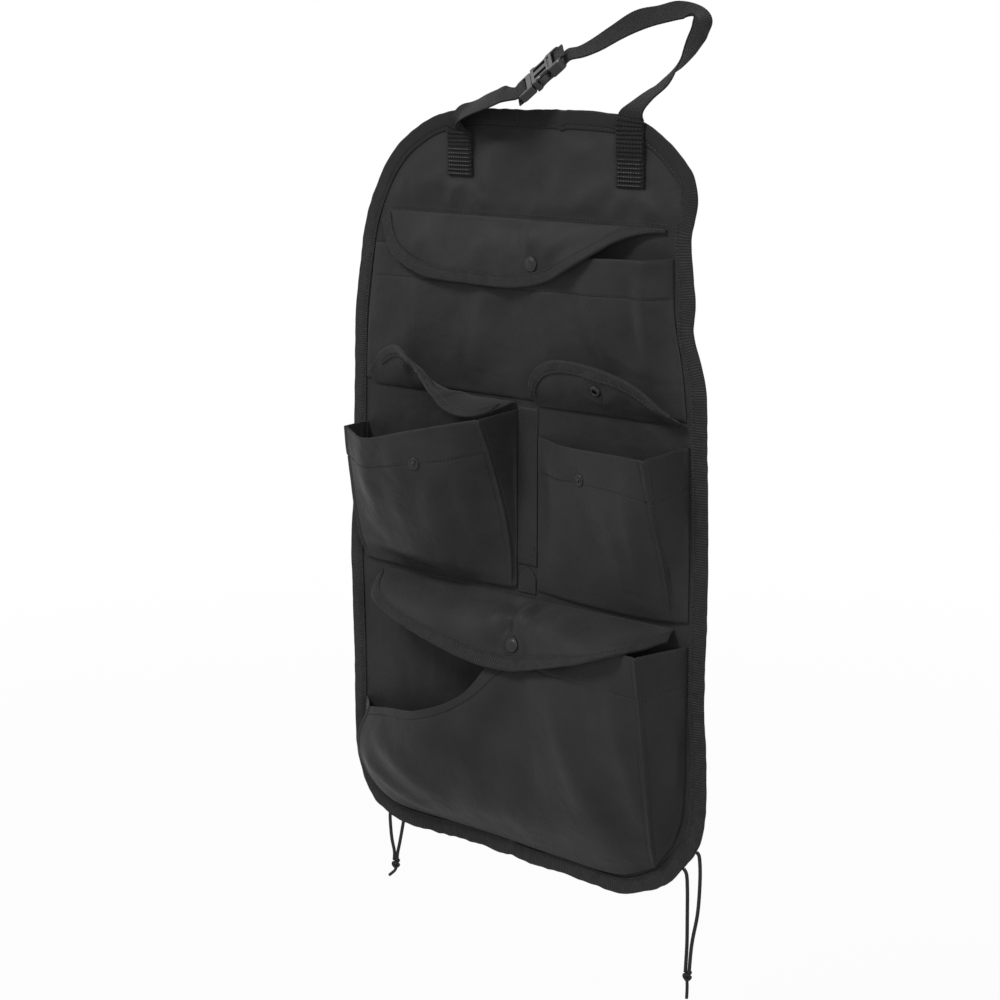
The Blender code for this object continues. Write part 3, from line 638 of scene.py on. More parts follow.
def folds_at(point, folds):
    """How far creases stand up at a point: each a soft ridge between two places in X and Z."""
    place = Vector((point.x, point.z))
    rise = 0.0
    for x1, z1, x2, z2, width, height in folds:
        start, end = Vector((x1, z1)) * MM, Vector((x2, z2)) * MM
        along = end - start
        share = min(max((place - start).dot(along) / along.length_squared, 0.0), 1.0)
        away = (place - start - along * share).length
        ends = math.sin(math.pi * min(max(share, 0.02), 0.98)) ** 0.5
        rise += 1.45 * height * MM * ends * hump(away, width * MM)
    return rise


stitch_list = {}


def stitch(group, path, facing, pitch=3.2 * MM, length=2.3 * MM, radius=0.28 * MM):
    """A row of stitches along a path, lying on the side that facing points to."""
    lengths = distances(path)
    count = int(lengths[-1] / pitch)
    place = 0
    for k in range(count):
        middle = pitch * (k + 0.5)
        while place < len(path) - 2 and lengths[place + 1] < middle:
            place += 1
        span = lengths[place + 1] - lengths[place]
        share = (middle - lengths[place]) / max(span, 1e-9)
        spot = path[place].lerp(path[place + 1], share)
        out = facing[place].lerp(facing[place + 1], share).normalized()
        ahead = (path[place + 1] - path[place]).normalized()
        stitch_list.setdefault(group, []).append((spot, ahead, out, length, radius))


STITCH_SIDES = 6
STITCH_RINGS = ((-0.5, 0.35, -0.5), (-0.3, 1.0, 0.55), (0.3, 1.0, 0.55), (0.5, 0.35, -0.5))


def sew(name, look=THREAD):
    """Makes one piece of all stitches of a group."""
    corners, faces = [], []
    for spot, ahead, out, length, radius in stitch_list[name]:
        side = ahead.cross(out).normalized()
        first = len(corners)
        for reach, wide, lift in STITCH_RINGS:
            for k in range(STITCH_SIDES):
                angle = 2 * math.pi * k / STITCH_SIDES
                corners.append(spot + ahead * length * reach + side * radius * wide * math.cos(angle)
                               + out * radius * (lift + wide * math.sin(angle)))
        last = len(corners) - STITCH_SIDES
        for ring in range(first, last, STITCH_SIDES):
            faces += band(ring, ring + STITCH_SIDES, STITCH_SIDES)
        faces.append(tuple(first + k for k in reversed(range(STITCH_SIDES))))
        faces.append(tuple(last + k for k in range(STITCH_SIDES)))
    return show(name, corners, faces, look)


# Pockets
HEM_SHARE = 0.8
WAVE_SIZES = (60, 22)
FIN_HEIGHT = 1.5 * MM
FIN_WIDTH = 0.75 * MM
FIN_SEAM = 3.4 * MM
STITCH_LIFT = 0.6 * MM


def column_length(surface, u):
    """How long a surface is from its seam to its free edge at one u."""
    return sum((surface(u, k / 8) - surface(u, (k + 1) / 8)).length for k in range(8))


def split_at(w, share, line):
    """Remaps w from 0 to 1 so that it reaches the line where it was at the share."""
    return w / share * line if w <= share else line + (w - share) / (1 - share) * (1 - line)


def hemmed(surface, hem):
    """The same surface, with v remapped so that the hem's stitch line lies at HEM_SHARE."""
    known = {}

    def mapped(u, w):
        key = round(u, 5)
        if key not in known:
            known[key] = 1 - min(hem(u) / column_length(surface, u), 0.5)
        return surface(u, split_at(w, HEM_SHARE, known[key]))
    return mapped


def pocket(name, surface, columns, rows, creases, folds, waves, fins, hem=lambda u: HEM):
    """A pocket's cloth: hem, pinched and edge-stitched fold lines, creases and soft waves."""
    source = hemmed(surface, hem)
    us = steps(columns, creases, 0.035, 14)
    ws = steps(rows, (HEM_SHARE,), 0.03, 8)
    points = [[source(u, w) for u in us] for w in ws]
    facing = grid_normals(points)
    across, up = run_lengths(points)
    pinches = [(closest(us, crease), fin) for crease, fin in zip(creases, fins) if fin]
    hem_row = closest(ws, HEM_SHARE)
    moved = []
    for j, w in enumerate(ws):
        line = []
        for i, u in enumerate(us):
            point = points[j][i]
            hold = smooth(0, 0.10, w) * smooth(0, 0.03, u) * smooth(0, 0.03, 1 - u)
            below = up[j][i] - up[hem_row][i]
            rise = folds_at(point, folds)
            for size, height in zip(WAVE_SIZES, waves):
                rise += rough(point, size, len(name)) * height * MM
            rise += 0.45 * MM * smooth(-0.6 * MM, 0.6 * MM, below)
            rise -= 0.55 * MM * hump(below + 1.2 * MM, 1.1 * MM)
            rise *= hold * clear_of_snaps(point)
            for column, fin in pinches:
                away = abs(across[j][i] - across[j][column])
                rise += FIN_HEIGHT * fin * hump(away, FIN_WIDTH) * smooth(0.0, 0.15, w)
                rise -= 0.5 * MM * hump(away - FIN_SEAM, 0.9 * MM) * hold
            line.append(point + facing[j][i] * rise)
        moved.append(line)
    corners, faces, places = closed_sheet(moved, CLOTH_THICK)
    made = show(name + "_cloth", corners, faces, FABRIC, places, [name])
    facing = grid_normals(moved)
    rows_of_stitches = [[(hem_row, i) for i in range(len(us))]]
    for column, fin in pinches:
        rows_of_stitches.append([(j, closest(across[j], across[j][column] - FIN_SEAM))
                                 for j in range(len(ws))])
    for row in rows_of_stitches:
        stitch(name + "_stitches", [moved[j][i] + facing[j][i] * STITCH_LIFT for j, i in row],
               [facing[j][i] for j, i in row])
    cloth_sheet(points, [sew(name + "_stitches")])


pocket("top_pocket", TOP_POCKET, 110, 44, (6 / 7,), [
    (-6, 190, -14, 104, 9, -1.7), (-28, 186, -46, 102, 10, 2.4), (-50, 184, -82, 112, 12, -1.5),
    (26, 188, 44, 104, 11, 2.6), (48, 192, 82, 112, 11, -2.0), (74, 198, 104, 116, 13, 2.2),
    (-90, 180, -120, 108, 16, 2.0), (122, 200, 120, 120, 9, -2.0), (138, 200, 134, 110, 12, 1.8),
], (2.2, 0.4), [0.0])
pocket("mid_left_pocket", MID_LEFT_POCKET, 120, 60, (1 / 6, 5 / 6), [
    (-168, -52, -50, -60, 9, 3.0), (-150, -30, -70, -52, 12, 2.4), (-30, 50, -24, -40, 9, 1.8),
    (-62, 24, -80, -30, 14, -1.8), (-120, 40, -128, -30, 12, 1.8),
    (-150, -66, -60, -70, 6, -1.6),
], (2.6, 0.5), [0.5, 1.0])
pocket("mid_right_pocket", MID_RIGHT_POCKET, 110, 60, (4 / 5,), [
    (60, 50, 44, -50, 12, 1.8), (83, 26, 96, -50, 14, -1.6), (140, 40, 132, -60, 10, 1.8),
    (34, 40, 32, -50, 8, -1.4), (112, 30, 120, -60, 12, 1.4),
], (2.2, 0.4), [1.0])
pocket("lower_pocket", LOWER_POCKET, 150, 80, (1 / 9, 8 / 9), [
    (10, -128, -36, -240, 14, 2.8), (24, -130, 44, -250, 14, -2.6), (60, -122, 104, -240, 16, 3.2),
    (-130, -215, -60, -262, 14, 2.8), (-150, -250, -80, -290, 9, 2.0),
    (130, -120, 150, -240, 9, 2.0), (-20, -180, -110, -236, 16, 2.4),
    (-6, -190, -60, -280, 14, -2.2), (90, -130, 140, -270, 13, -2.0),
], (3.2, 0.6), [0.4, 1.0], hem=lambda u: (7 + 20 * smooth(0.42, 0.56, u)) * MM)


# Flaps: each cloth and the tape folded over its free edge
LIP_SHARE = 0.6
GROOVE_AT = 0.22
GROOVE_DEPTH = 0.45 * MM


def tapered(surface, part):
    """The same flap, drawn back towards its seam over the last part of its length."""
    def mapped(u, v):
        return surface(u, v * (1 - 0.8 * smooth(1 - part, 1, u)))
    return mapped


def bound_flap(name, surface, columns, rows, folds, waves, skip=0.0):
    """A flap's cloth with creases, and its ribbed tape with a stitched groove."""
    us = [k / columns for k in range(columns + 1)]
    lines = [1 - min(FLAP_TAPE_WIDTH / column_length(surface, u), 0.8) for u in us]
    points, unfolded = [], []
    for j in range(rows + 1):
        points.append([surface(u, split_at(j / rows, LIP_SHARE, line)) for u, line in zip(us, lines)])
        unfolded.append(list(points[j]))
    facing = grid_normals(points)
    for j in range(rows + 1):
        hold = smooth(0, 0.12, j / rows)
        for i, u in enumerate(us):
            point = points[j][i]
            rise = rough(point, 45, len(name)) * waves[0] * MM + rough(point, 16, 3) * waves[1] * MM
            rise += folds_at(point, folds)
            rise *= hold * smooth(0, 0.04, u) * smooth(0, 0.04, 1 - u) * clear_of_snaps(point)
            points[j][i] = point - facing[j][i] * rise
    corners, faces, places = closed_sheet(points, CLOTH_THICK)
    cloth = show(name + "_cloth", corners, faces, FABRIC, places, [name])
    facing = grid_normals(points)
    first = int(rows * LIP_SHARE)
    offset = CLOTH_THICK / 2 + GAP + TAPE_THICK / 2

    def beside(j, i, side):
        """A point of the tape beside row j, lower along its stitched groove."""
        groove = GROOVE_DEPTH * hump((j - first) / (rows - first) - GROOVE_AT, 0.12)
        return points[j][i] + facing[j][i] * side * (offset - groove)

    bound = range(round(skip * columns), columns + 1 - round(skip * columns))
    folded = []
    for i in bound:
        outward = (points[rows][i] - points[rows - 1][i]).normalized()
        line = [beside(j, i, 1) for j in range(first, rows + 1)]
        for k in range(1, 6):
            angle = math.pi * k / 6
            line.append(points[rows][i] + facing[rows][i] * offset * math.cos(angle)
                        + outward * offset * math.sin(angle))
        line += [beside(j, i, -1) for j in range(rows, first - 1, -1)]
        folded.append(line)
    corners, faces, places = closed_sheet(folded, TAPE_THICK)
    places = [(v, u) for u, v in places]
    tape = show(name + "_tape", corners, faces, TAPE, places, [name + "_binding"])
    row = first + int((rows - first) * GROOVE_AT)
    for side in (1, -1):
        stitch(name + "_stitches",
               [points[row][i] + facing[row][i] * side * (offset + 0.05 * MM) for i in bound],
               [facing[row][i] * side for i in bound])
    cloth_sheet(unfolded, [tape, sew(name + "_stitches")])


bound_flap("top_flap", tapered(TOP_FLAP, 0.24), 200, 40, [
    (18, 228, 20, 206, 6, 1.8), (60, 228, 30, 200, 8, 2.0), (96, 229, 44, 206, 6, -1.4),
    (2, 228, 8, 204, 5, -1.3), (-24, 226, -44, 188, 12, 1.6), (-70, 226, -80, 190, 10, -1.0),
    (-96, 224, -106, 196, 8, 1.4),
], (1.5, 0.3))
bound_flap("mid_left_flap", MID_LEFT_FLAP, 150, 40, [
    (-110, 92, -100, 112, 6, 1.0), (-60, 84, -48, 84, 5, 1.2),
], (0.8, 0.25), skip=0.11)
bound_flap("mid_right_flap", MID_RIGHT_FLAP, 150, 40, [
    (60, 90, 58, 118, 7, 0.9), (120, 90, 126, 110, 8, 1.0),
], (0.8, 0.25), skip=0.0625)
bound_flap("lower_flap", LOWER_FLAP, 220, 40, [
    (9, -82, 13, -124, 7, -4.0), (25, -84, 24, -118, 7, 3.2), (54, -84, 28, -118, 9, 2.6),
    (36, -84, 25, -108, 7, -1.0), (-6, -86, 0, -118, 7, 2.0), (-40, -88, -30, -126, 10, 1.4),
    (60, -88, 96, -108, 8, 2.0), (90, -86, 132, -94, 7, -1.4),
], (1.6, 0.4))


# The panel: its front cloth with soft dents, seam lines and the pull of the sewn straps
def dense_outline(count):
    """Even points of the panel's outline with the direction that points inwards."""
    loop = [Vector((x, z)) * MM for x, z in PANEL_OUTLINE]
    wide = loop[-1:] + loop + loop[:2]
    dense = []
    for index in range(len(loop)):
        for part in range(12):
            dense.append(spline(wide[index:index + 4], (1 + part / 12) / 3))
    lengths = distances(dense + dense[:1])
    even, place = [], 0
    for k in range(count):
        wanted = lengths[-1] * k / count
        while lengths[place + 1] < wanted:
            place += 1
        share = (wanted - lengths[place]) / (lengths[place + 1] - lengths[place])
        even.append(dense[place].lerp(dense[(place + 1) % len(dense)], share))
    inwards = []
    for k in range(count):
        along = (even[(k + 1) % count] - even[k - 1]).normalized()
        inwards.append(Vector((along.y, -along.x)))
    return list(zip(even, inwards)), lengths[-1]


STRAPS_AT = (-61, 112)
STRAP_PULLS = (
    (-61, 262, -76, 236, 5, 2.4), (-56, 262, -34, 238, 6, 2.2), (110, 258, 92, 236, 6, 2.4),
    (116, 258, 140, 238, 7, 2.4), (102, 268, 52, 242, 9, 2.2), (-66, 264, -116, 250, 9, 1.8),
    (62, 300, 44, 252, 13, 2.6), (30, 302, 8, 240, 14, -2.4), (-16, 302, -26, 250, 13, 2.6),
    (18, 250, 16, 234, 5, 1.8),
)


def panel_relief(x, z, inset):
    """How far the panel's front stands out at a place, in metres."""
    point = Vector((x, 0, z))
    upper = smooth(232 * MM, 246 * MM, z)
    lower = smooth(-84 * MM, -92 * MM, z)
    rise = (rough(point, 62, 1) * 3.2 + rough(point, 26, 2) * 0.5 + 2.0) * MM * upper
    rise += folds_at(point, STRAP_PULLS) * upper
    for strap in STRAPS_AT:
        beside = abs(x - strap * MM)
        rise *= 1 - 0.95 * smooth(20 * MM, 13 * MM, beside) * smooth(256 * MM, 262 * MM, z)
    rise += (rough(point, 40, 5) * 0.8 + 0.4) * MM * lower * 0.4
    return max(rise, -0.25 * MM) * smooth(12 * MM, 30 * MM, inset)


SEAMS = ((232, -150, 150), (82, -166, 170), (-82, -158, 165))
EDGE_INSET = 1.0 * MM
PANEL_SIDE = PANEL_FRONT + 0.7 * MM


def make_panel():
    """The panel's front in rings towards its middle, its thin side and its flat back."""
    edge = dense_outline(360)[0]
    inner = TAPE_WIDTH + GAP
    rings = 90
    corners, places, faces = [], [], []
    for share in [1 - k / rings for k in range(rings)]:
        for point, inward in edge:
            place = (point + inward * EDGE_INSET) * share
            y = PANEL_FRONT - panel_relief(place.x, place.y, (point - place).length)
            corners.append(Vector((place.x, y, place.y)))
            places.append((place.x, place.y))
    corners.append(Vector((0, PANEL_FRONT, 0)))
    places.append((0, 0))
    count = len(edge)
    last = (rings - 1) * count
    for ring in range(0, last, count):
        faces += band(ring, ring + count, count)
    faces += fan(last, len(corners) - 1, count)
    previous = 0
    for inset, depth in ((EDGE_INSET, PANEL_SIDE), (inner, PANEL_SIDE), (inner + 1 * MM, 0.0)):
        start = len(corners)
        for point, inward in edge:
            place = point + inward * inset
            corners.append(Vector((place.x, depth, place.y)))
            places.append((place.x, place.y))
        faces += band(start, previous, count)
        previous = start
    corners.append(Vector((0, 0, 0)))
    places.append((0, 0))
    faces += fan(previous, len(corners) - 1, count)
    made = show("panel_cloth", corners, faces, FABRIC, places, ["back_panel"])
    for height, left, right in SEAMS:
        for above in (0.8, 3.8):
            path = []
            for k in range(160):
                x, z = (left + (right - left) * k / 159) * MM, (height + above) * MM
                inset = nearest_edge(edge, x, z)
                path.append(Vector((x, PANEL_FRONT - panel_relief(x, z, inset) - 0.05 * MM, z)))
            stitch("seam_stitches", path, [FORWARD] * len(path))
    return made


def nearest_edge(edge, x, z):
    """How far a place lies from the panel's outline."""
    return min(math.dist((x, z), point) for point, inward in edge)


panel_cloth = make_panel()
seam_stitches = sew("seam_stitches")


STITCH_LINE = 10.6 * MM
TAPE_INSIDE = PANEL_FRONT + 0.95 * MM


def tape_profile():
    """The folded tape's section: how far in from the edge, and Y."""
    half = TAPE_FRONT / 2
    profile = [(TAPE_WIDTH, PANEL_FRONT - GAP), (TAPE_WIDTH + 0.3 * MM, TAPE_FRONT + 0.4 * MM)]
    profile += [(inset * MM, TAPE_FRONT)
                for inset in (12.4, 11.4, 10.6, 9.8, 8.6, 7.0, 5.4, 3.8, 2.2, 0.9)]
    for k in range(7):
        angle = math.pi * (k / 6)
        profile.append((-(0.2 + 1.0 * math.sin(angle)) * MM, half + half * math.cos(angle)))
    profile += [(inset * MM, 0.0) for inset in (2.0, 6.0, 10.0)]
    return profile + [(TAPE_WIDTH, 0.0), (TAPE_WIDTH, TAPE_INSIDE), (1.0 * MM, TAPE_INSIDE),
                      (1.0 * MM, PANEL_FRONT - GAP)]


def make_binding():
    """The ribbed tape around the whole edge, puckered by its stitches, with two lapped joints."""
    count = 900
    edge, around = dense_outline(count)
    profile = tape_profile()
    levels = len(profile)
    widths = [0.0]
    for before, now in zip(profile, profile[1:]):
        widths.append(widths[-1] + math.dist(before, now))
    corners, places, faces = [], [], []
    for k, (point, inward) in enumerate(edge):
        spot = Vector((point.x, 0, point.y))
        crumple = 1 + 1.6 * smooth(-0.25, -0.31, point.y)
        ripple = (rough(spot, 8, 4) * 0.9 + rough(spot, 24, 6) * 0.7) * crumple
        lap = hump(point.x - 44 * MM, 3.0 * MM) if point.y > 0.25 else 0.0
        lap += hump(point.x + 6 * MM, 4 * MM) if point.y < -0.25 else 0.0
        for (inset, y), wide in zip(profile, widths):
            place = point + inward * inset
            if y <= TAPE_FRONT + 0.01 * MM and inset > 0:
                crown = math.sin(math.pi * min(inset / TAPE_WIDTH, 1))
                y -= (0.35 * crown + 0.25 * ripple * crown) * MM
                y += 0.75 * MM * hump(inset - STITCH_LINE, 0.8 * MM)
            if inset < 0:
                place -= inward * (0.35 + 0.5 * ripple) * MM
            if lap and y < -0.5 * MM:
                y -= 0.8 * MM * lap
                place += inward * 1.6 * MM * lap
            corners.append(Vector((place.x, y, place.y)))
            places.append((around * k / count, wide))
    for k in range(count):
        here, ahead = k * levels, (k + 1) % count * levels
        for level in range(levels):
            above = (level + 1) % levels
            faces.append((here + level, ahead + level, ahead + above, here + above))
    path = []
    for point, inward in edge:
        place = point + inward * STITCH_LINE
        path.append(Vector((place.x, TAPE_FRONT + 0.25 * MM, place.y)))
    stitch("edge_stitches", path + path[:1], [FORWARD] * (count + 1), 3.4 * MM, 2.5 * MM, 0.3 * MM)
    return show("edge_tape", corners, faces, TAPE, places, ["edge_binding"])


edge_tape = make_binding()
sew("edge_stitches")


# The strip between the middle pockets and the tab below it
def flat_patch(name, node, outline_points):
    """A flat piece of cloth on the panel from an outline, with a rounded edge and a soft surface."""
    middle = sum((Vector(point) for point in outline_points), Vector((0, 0))) / len(outline_points)
    dense = []
    for a, b in zip(outline_points, outline_points[1:] + outline_points[:1]):
        for k in range(10):
            dense.append(Vector(a).lerp(Vector(b), k / 10))
    base = PANEL_FRONT - GAP
    corners, places, faces = [], [], []
    levels = [(1.0, 0.0), (1.0, -0.25), (0.995, -0.8), (0.97, -1.0)]
    levels += [(0.97 * (1 - k / 14), -1.0) for k in range(1, 14)]
    for share, height in levels:
        for point in dense:
            place = middle + (point - middle) * share
            spot = Vector((place.x * MM, 0, place.y * MM))
            lift = 0.3 * MM * (rough(spot, 8, 2) + rough(spot, 20, 3)) * smooth(1.0, 0.85, share)
            corners.append(Vector((spot.x, base + CLOTH_THICK * height - lift, spot.z)))
            places.append((spot.x, spot.z))
    count = len(dense)
    last = (len(levels) - 1) * count
    for ring in range(0, last, count):
        faces += band(ring, ring + count, count)
    for ring, y in ((0, base), (last, CLOTH_FRONT)):
        faces += fan(ring, len(corners), count)
        corners.append(Vector((middle.x * MM, y, middle.y * MM)))
        places.append((middle.x * MM, middle.y * MM))
    return show(name, corners, faces, FABRIC, places, [node])


strip = flat_patch("centre_strip_cloth", "centre_strip",
                   [(0.2, -54), (20.6, -54), (20.6, 79), (0.2, 79)])
tab = flat_patch("seam_tab_cloth", "seam_tab", [(1.5, -78), (19.5, -78), (19.5, -66), (17, -60),
                                                (12, -56.5), (9, -56.5), (4, -60), (1.5, -66)])
for ends in (((3, 78), (3, -53)), ((17.8, 78), (17.8, -53)), ((3, -74), (18, -74))):
    stitch("strip_stitches", [Vector((x * MM, CLOTH_FRONT, z * MM)) for x, z in ends], [FORWARD] * 2)
sew("strip_stitches")


# Press studs
TURNED_SIDES = 40


def turned(label, kind, profile, centre, axis, lift):
    """A turned piece: profile is radius and height in millimetres from the axis out and back."""
    turn = Vector((0, 0, 1)).rotation_difference(axis).to_matrix()
    ringed = profile[0] == profile[-1]
    levels = profile[:-1] if ringed else profile
    corners, faces, places = [], [], []
    for radius, height in levels:
        for k in range(TURNED_SIDES):
            angle = 2 * math.pi * k / TURNED_SIDES
            local = Vector((radius * math.cos(angle), radius * math.sin(angle), height + lift / MM)) * MM
            corners.append(centre + turn @ local)
            places.append((local.x, local.y))
    for level in range(len(profile) - 1):
        above = (level + 1) % len(levels)
        faces += band(level * TURNED_SIDES, above * TURNED_SIDES, TURNED_SIDES)
    if not ringed:
        faces.append(tuple(range(TURNED_SIDES)))
        faces.append(tuple(range(len(corners) - TURNED_SIDES, len(corners))))
    show(label + "_" + kind, corners, faces, STUD, places, [label + "_snap_" + kind])


CAP = [(0.01, 0.0), (5.9, 0.0), (6.15, 0.15), (6.2, 0.6), (6.05, 0.95), (5.7, 1.15), (5.3, 1.2),
       (4.95, 1.0), (4.7, 1.05), (4.2, 1.4), (3.2, 1.65), (1.8, 1.75), (0.01, 1.78)]
SOCKET = [(2.3, 0.0), (5.1, 0.0), (5.2, 0.1), (5.2, 0.8), (5.0, 1.0), (4.2, 1.5), (3.9, 1.7),
          (3.2, 1.75), (2.5, 1.7), (2.3, 1.5), (2.3, 0.0)]
STUD_SHAPE = [(0.01, 0.0), (5.0, 0.0), (5.25, 0.15), (5.2, 0.5), (4.9, 0.75), (4.2, 0.9), (3.6, 0.75),
              (2.6, 0.55), (1.9, 0.7), (1.65, 1.2), (1.85, 1.9), (1.7, 2.2), (1.3, 2.4), (0.6, 2.3),
              (0.01, 2.0)]
POST = [(0.01, 0.0), (4.8, 0.0), (5.0, 0.1), (5.0, 0.4), (4.7, 0.65), (4.0, 0.8), (2.0, 0.75),
        (0.01, 0.7)]

for label, place, front in (("top", top_at, top_front), ("mid_left", left_at, left_front),
                            ("mid_right", right_at, right_front), ("lower", low_at, low_front)):
    turned(label, "stud", STUD_SHAPE, place, front, SHEET_TO_PIECE)
    turned(label, "post", POST, place, -front, SHEET_TO_PIECE)
for label, place, front in (("top", top_at, top_front), ("lower", low_at, low_front)):
    turned(label, "socket", SOCKET, place, front, SHEET_TO_PIECE + STUD_BASE + GAP)
    turned(label, "cap", CAP, place, front, SNAP_STACK + SHEET_TO_PIECE)
for label, place, front in (("mid_left", left_flap_at, left_flap_front),
                            ("mid_right", right_flap_at, right_flap_front)):
    turned(label, "socket", SOCKET, place, front, SHEET_TO_PIECE)
    turned(label, "cap", CAP, place, -front, SHEET_TO_PIECE)


# The side-release buckle: its own axes run along the strap, across it and out of its face
ALONG = Vector((0.667, 0.333, 0.667)).normalized()
ACROSS = Vector((-0.70, 0.67, 0.25))
ACROSS = (ACROSS - ALONG * ACROSS.dot(ALONG)).normalized()
FACE = ALONG.cross(ACROSS).normalized()
BUCKLE_AT = Vector((22, -10, 341)) * MM
CAVITY = 2.6
SLOT_W = WEBBING_WIDTH / MM / 2 + 0.7


def on_buckle(a, w, n):
    """A point given in metres along, across and out of the buckle."""
    return BUCKLE_AT + ALONG * a + ACROSS * w + FACE * n


def prism(outline_points, low, high):
    """A block from an outline (along, across in millimetres) between two heights."""
    mesh = bpy.data.meshes.new("block")
    shape = bmesh.new()
    rings = []
    for height in (low, high):
        rings.append([shape.verts.new((a * MM, w * MM, height * MM)) for a, w in outline_points])
    shape.faces.new(rings[0][::-1])
    shape.faces.new(rings[1])
    count = len(outline_points)
    for k in range(count):
        right = (k + 1) % count
        shape.faces.new([rings[0][k], rings[0][right], rings[1][right], rings[1][k]])
    bmesh.ops.recalc_face_normals(shape, faces=shape.faces)
    shape.to_mesh(mesh)
    shape.free()
    return added("block", mesh)


def block(a0, a1, w0, w1, n0, n1):
    return prism([(a0, w0), (a1, w0), (a1, w1), (a0, w1)], n0, n1)


def applied(target):
    """Applies an object's modifiers to its mesh."""
    bpy.context.view_layer.update()
    shown = target.evaluated_get(bpy.context.evaluated_depsgraph_get())
    mesh = bpy.data.meshes.new_from_object(shown)
    target.modifiers.clear()
    target.data = mesh


def combine(target, others, operation):
    """Joins or cuts solids into target and leaves one mesh behind."""
    for other in others:
        step = target.modifiers.new("step", "BOOLEAN")
        step.operation = operation
        step.solver = "EXACT"
        step.object = other
        applied(target)
        bpy.data.objects.remove(other, do_unlink=True)


def bevelled(target, width, segments):
    step = target.modifiers.new("edges", "BEVEL")
    step.width = width * MM
    step.segments = segments
    step.limit_method = "ANGLE"
    step.angle_limit = math.radians(35)
    applied(target)


def finish_buckle(target, name, body, node):
    """Moves a finished buckle piece from the origin to its place on the strap."""
    target.name = name
    for vertex in target.data.vertices:
        vertex.co = on_buckle(*vertex.co)
    target.data.materials.clear()
    target.data.materials.append(PLASTIC)
    target.data.shade_flat()
    declare(target, [node], body)


def mirrored(half):
    return half + [(a, -w) for a, w in reversed(half)]


socket = prism(mirrored(
    [(0, 15.6), (0.4, 16.4), (1.2, 16.8), (4.2, 16.8), (5.0, 15.6), (6.0, 14.2), (8.5, 13.4),
     (12.5, 13.4), (15.4, 14.2), (16.6, 15.6), (17.4, 16.8), (26, 16.8), (28.2, 16.0), (29.5, 14.6),
     (30, 13)]), -4.4, 4.4)
bevelled(socket, 0.9, 3)
combine(socket, [
    block(-1, 20.5, -12.6, 12.6, -CAVITY, CAVITY),
    block(5.0, 16.4, -19, -11, 0.1 - CAVITY, CAVITY - 0.1),
    block(5.0, 16.4, 11, 19, 0.1 - CAVITY, CAVITY - 0.1),
    block(22.2, 26.0, -SLOT_W, SLOT_W, -6, 6),
    block(25.0, 32.0, -SLOT_W, SLOT_W, 1.7, 7),
    block(25.0, 32.0, -SLOT_W, SLOT_W, -7, -1.7),
    block(3.4, 15.6, -10.6, -3.6, -7, 7),
    block(3.4, 15.6, 3.6, 10.6, -7, 7),
    block(17.4, 19.6, -11.6, 11.6, 3.6, 7),
    block(17.4, 19.6, -11.6, 11.6, -7, -3.6),
], "DIFFERENCE")
bevelled(socket, 0.25, 2)
finish_buckle(socket, "buckle_socket_moulding", "panel", "buckle_socket")

plug = prism(mirrored(
    [(-0.6, 15.0), (-1.0, 15.9), (-1.8, 16.4), (-11, 16.4), (-13, 15.9), (-14.4, 14.8), (-15.4, 12.6)]),
    -3.4, 3.4)
bevelled(plug, 0.8, 3)
combine(plug, [
    block(-9.6, -5.6, -SLOT_W, SLOT_W, -6, 6),
    block(-17.0, -9.0, -SLOT_W, SLOT_W, 1.7, 7),
    block(-17.0, -9.0, -SLOT_W, SLOT_W, -7, -1.7),
], "DIFFERENCE")
HALF = CAVITY - 0.4
PRONG = [(-2, 8.4), (4.4, 9.4), (5.6, 14.4), (9, 15.2), (13, 13.8), (16.6, 11.2), (18.4, 8.8),
         (16.8, 7.4), (12.4, 9.2), (8, 8.0), (4.4, 6.6), (-2, 5.4)]
combine(plug, [
    prism(PRONG, -HALF, HALF),
    prism([(a, -w) for a, w in PRONG], -HALF, HALF),
    block(-2, 16, -2.4, 2.4, -HALF, HALF),
], "UNION")
bevelled(plug, 0.25, 2)
finish_buckle(plug, "buckle_plug_moulding", "buckle_plug", "buckle_plug")


# The webbing
def on_bar(*places):
    """Webbing stations on the buckle, given along and out of it in millimetres."""
    return [(tuple(on_buckle(a * MM, 0, n * MM) / MM), tuple(ACROSS)) for a, n in places]


WEB_ON_PANEL = (PANEL_FRONT - GAP - WEBBING_THICK / 2) / MM
WEB_ON_TAPE = (TAPE_FRONT - GAP - WEBBING_THICK / 2) / MM

RIGHT_STATIONS = [((112, WEB_ON_PANEL, z), (-1, 0, 0)) for z in (262, 271, 280)]
RIGHT_STATIONS += [((112, WEB_ON_TAPE - 0.3, z), (-1, 0, 0)) for z in (289, 300, 311)]
RIGHT_STATIONS += [
    ((113.5, WEB_ON_TAPE + 0.3, 320), (-0.98, 0.20, -0.05)),
    ((118.5, 5, 329.5), (-0.89, 0.45, 0.0)),
    ((123.5, 17.5, 338.5), (-0.81, 0.58, 0.0)),
    ((125, 29, 348), (-0.70, 0.70, -0.10)),
    ((128, 40, 358), (-0.42, 0.89, -0.15)),
    ((131, 48, 369), (-0.15, 0.98, -0.02)),
    ((133, 55, 380), (-0.08, 0.98, 0.05)),
    ((131, 60, 389), (-0.22, 0.93, 0.20)),
    ((122, 61, 394), (-0.42, 0.80, 0.42)),
    ((110, 57, 395), (-0.55, 0.64, 0.54)),
    ((98, 51, 392), (-0.62, 0.60, 0.51)),
    ((85, 42, 388), (-0.67, 0.5, 0.55)),
    ((73, 30, 379), (-0.80, 0.48, 0.36)),
    ((62, 18.5, 369.5), (-0.78, 0.54, 0.30)),
    ((53.5, 10, 364), (-0.70, 0.65, 0.29)),
]
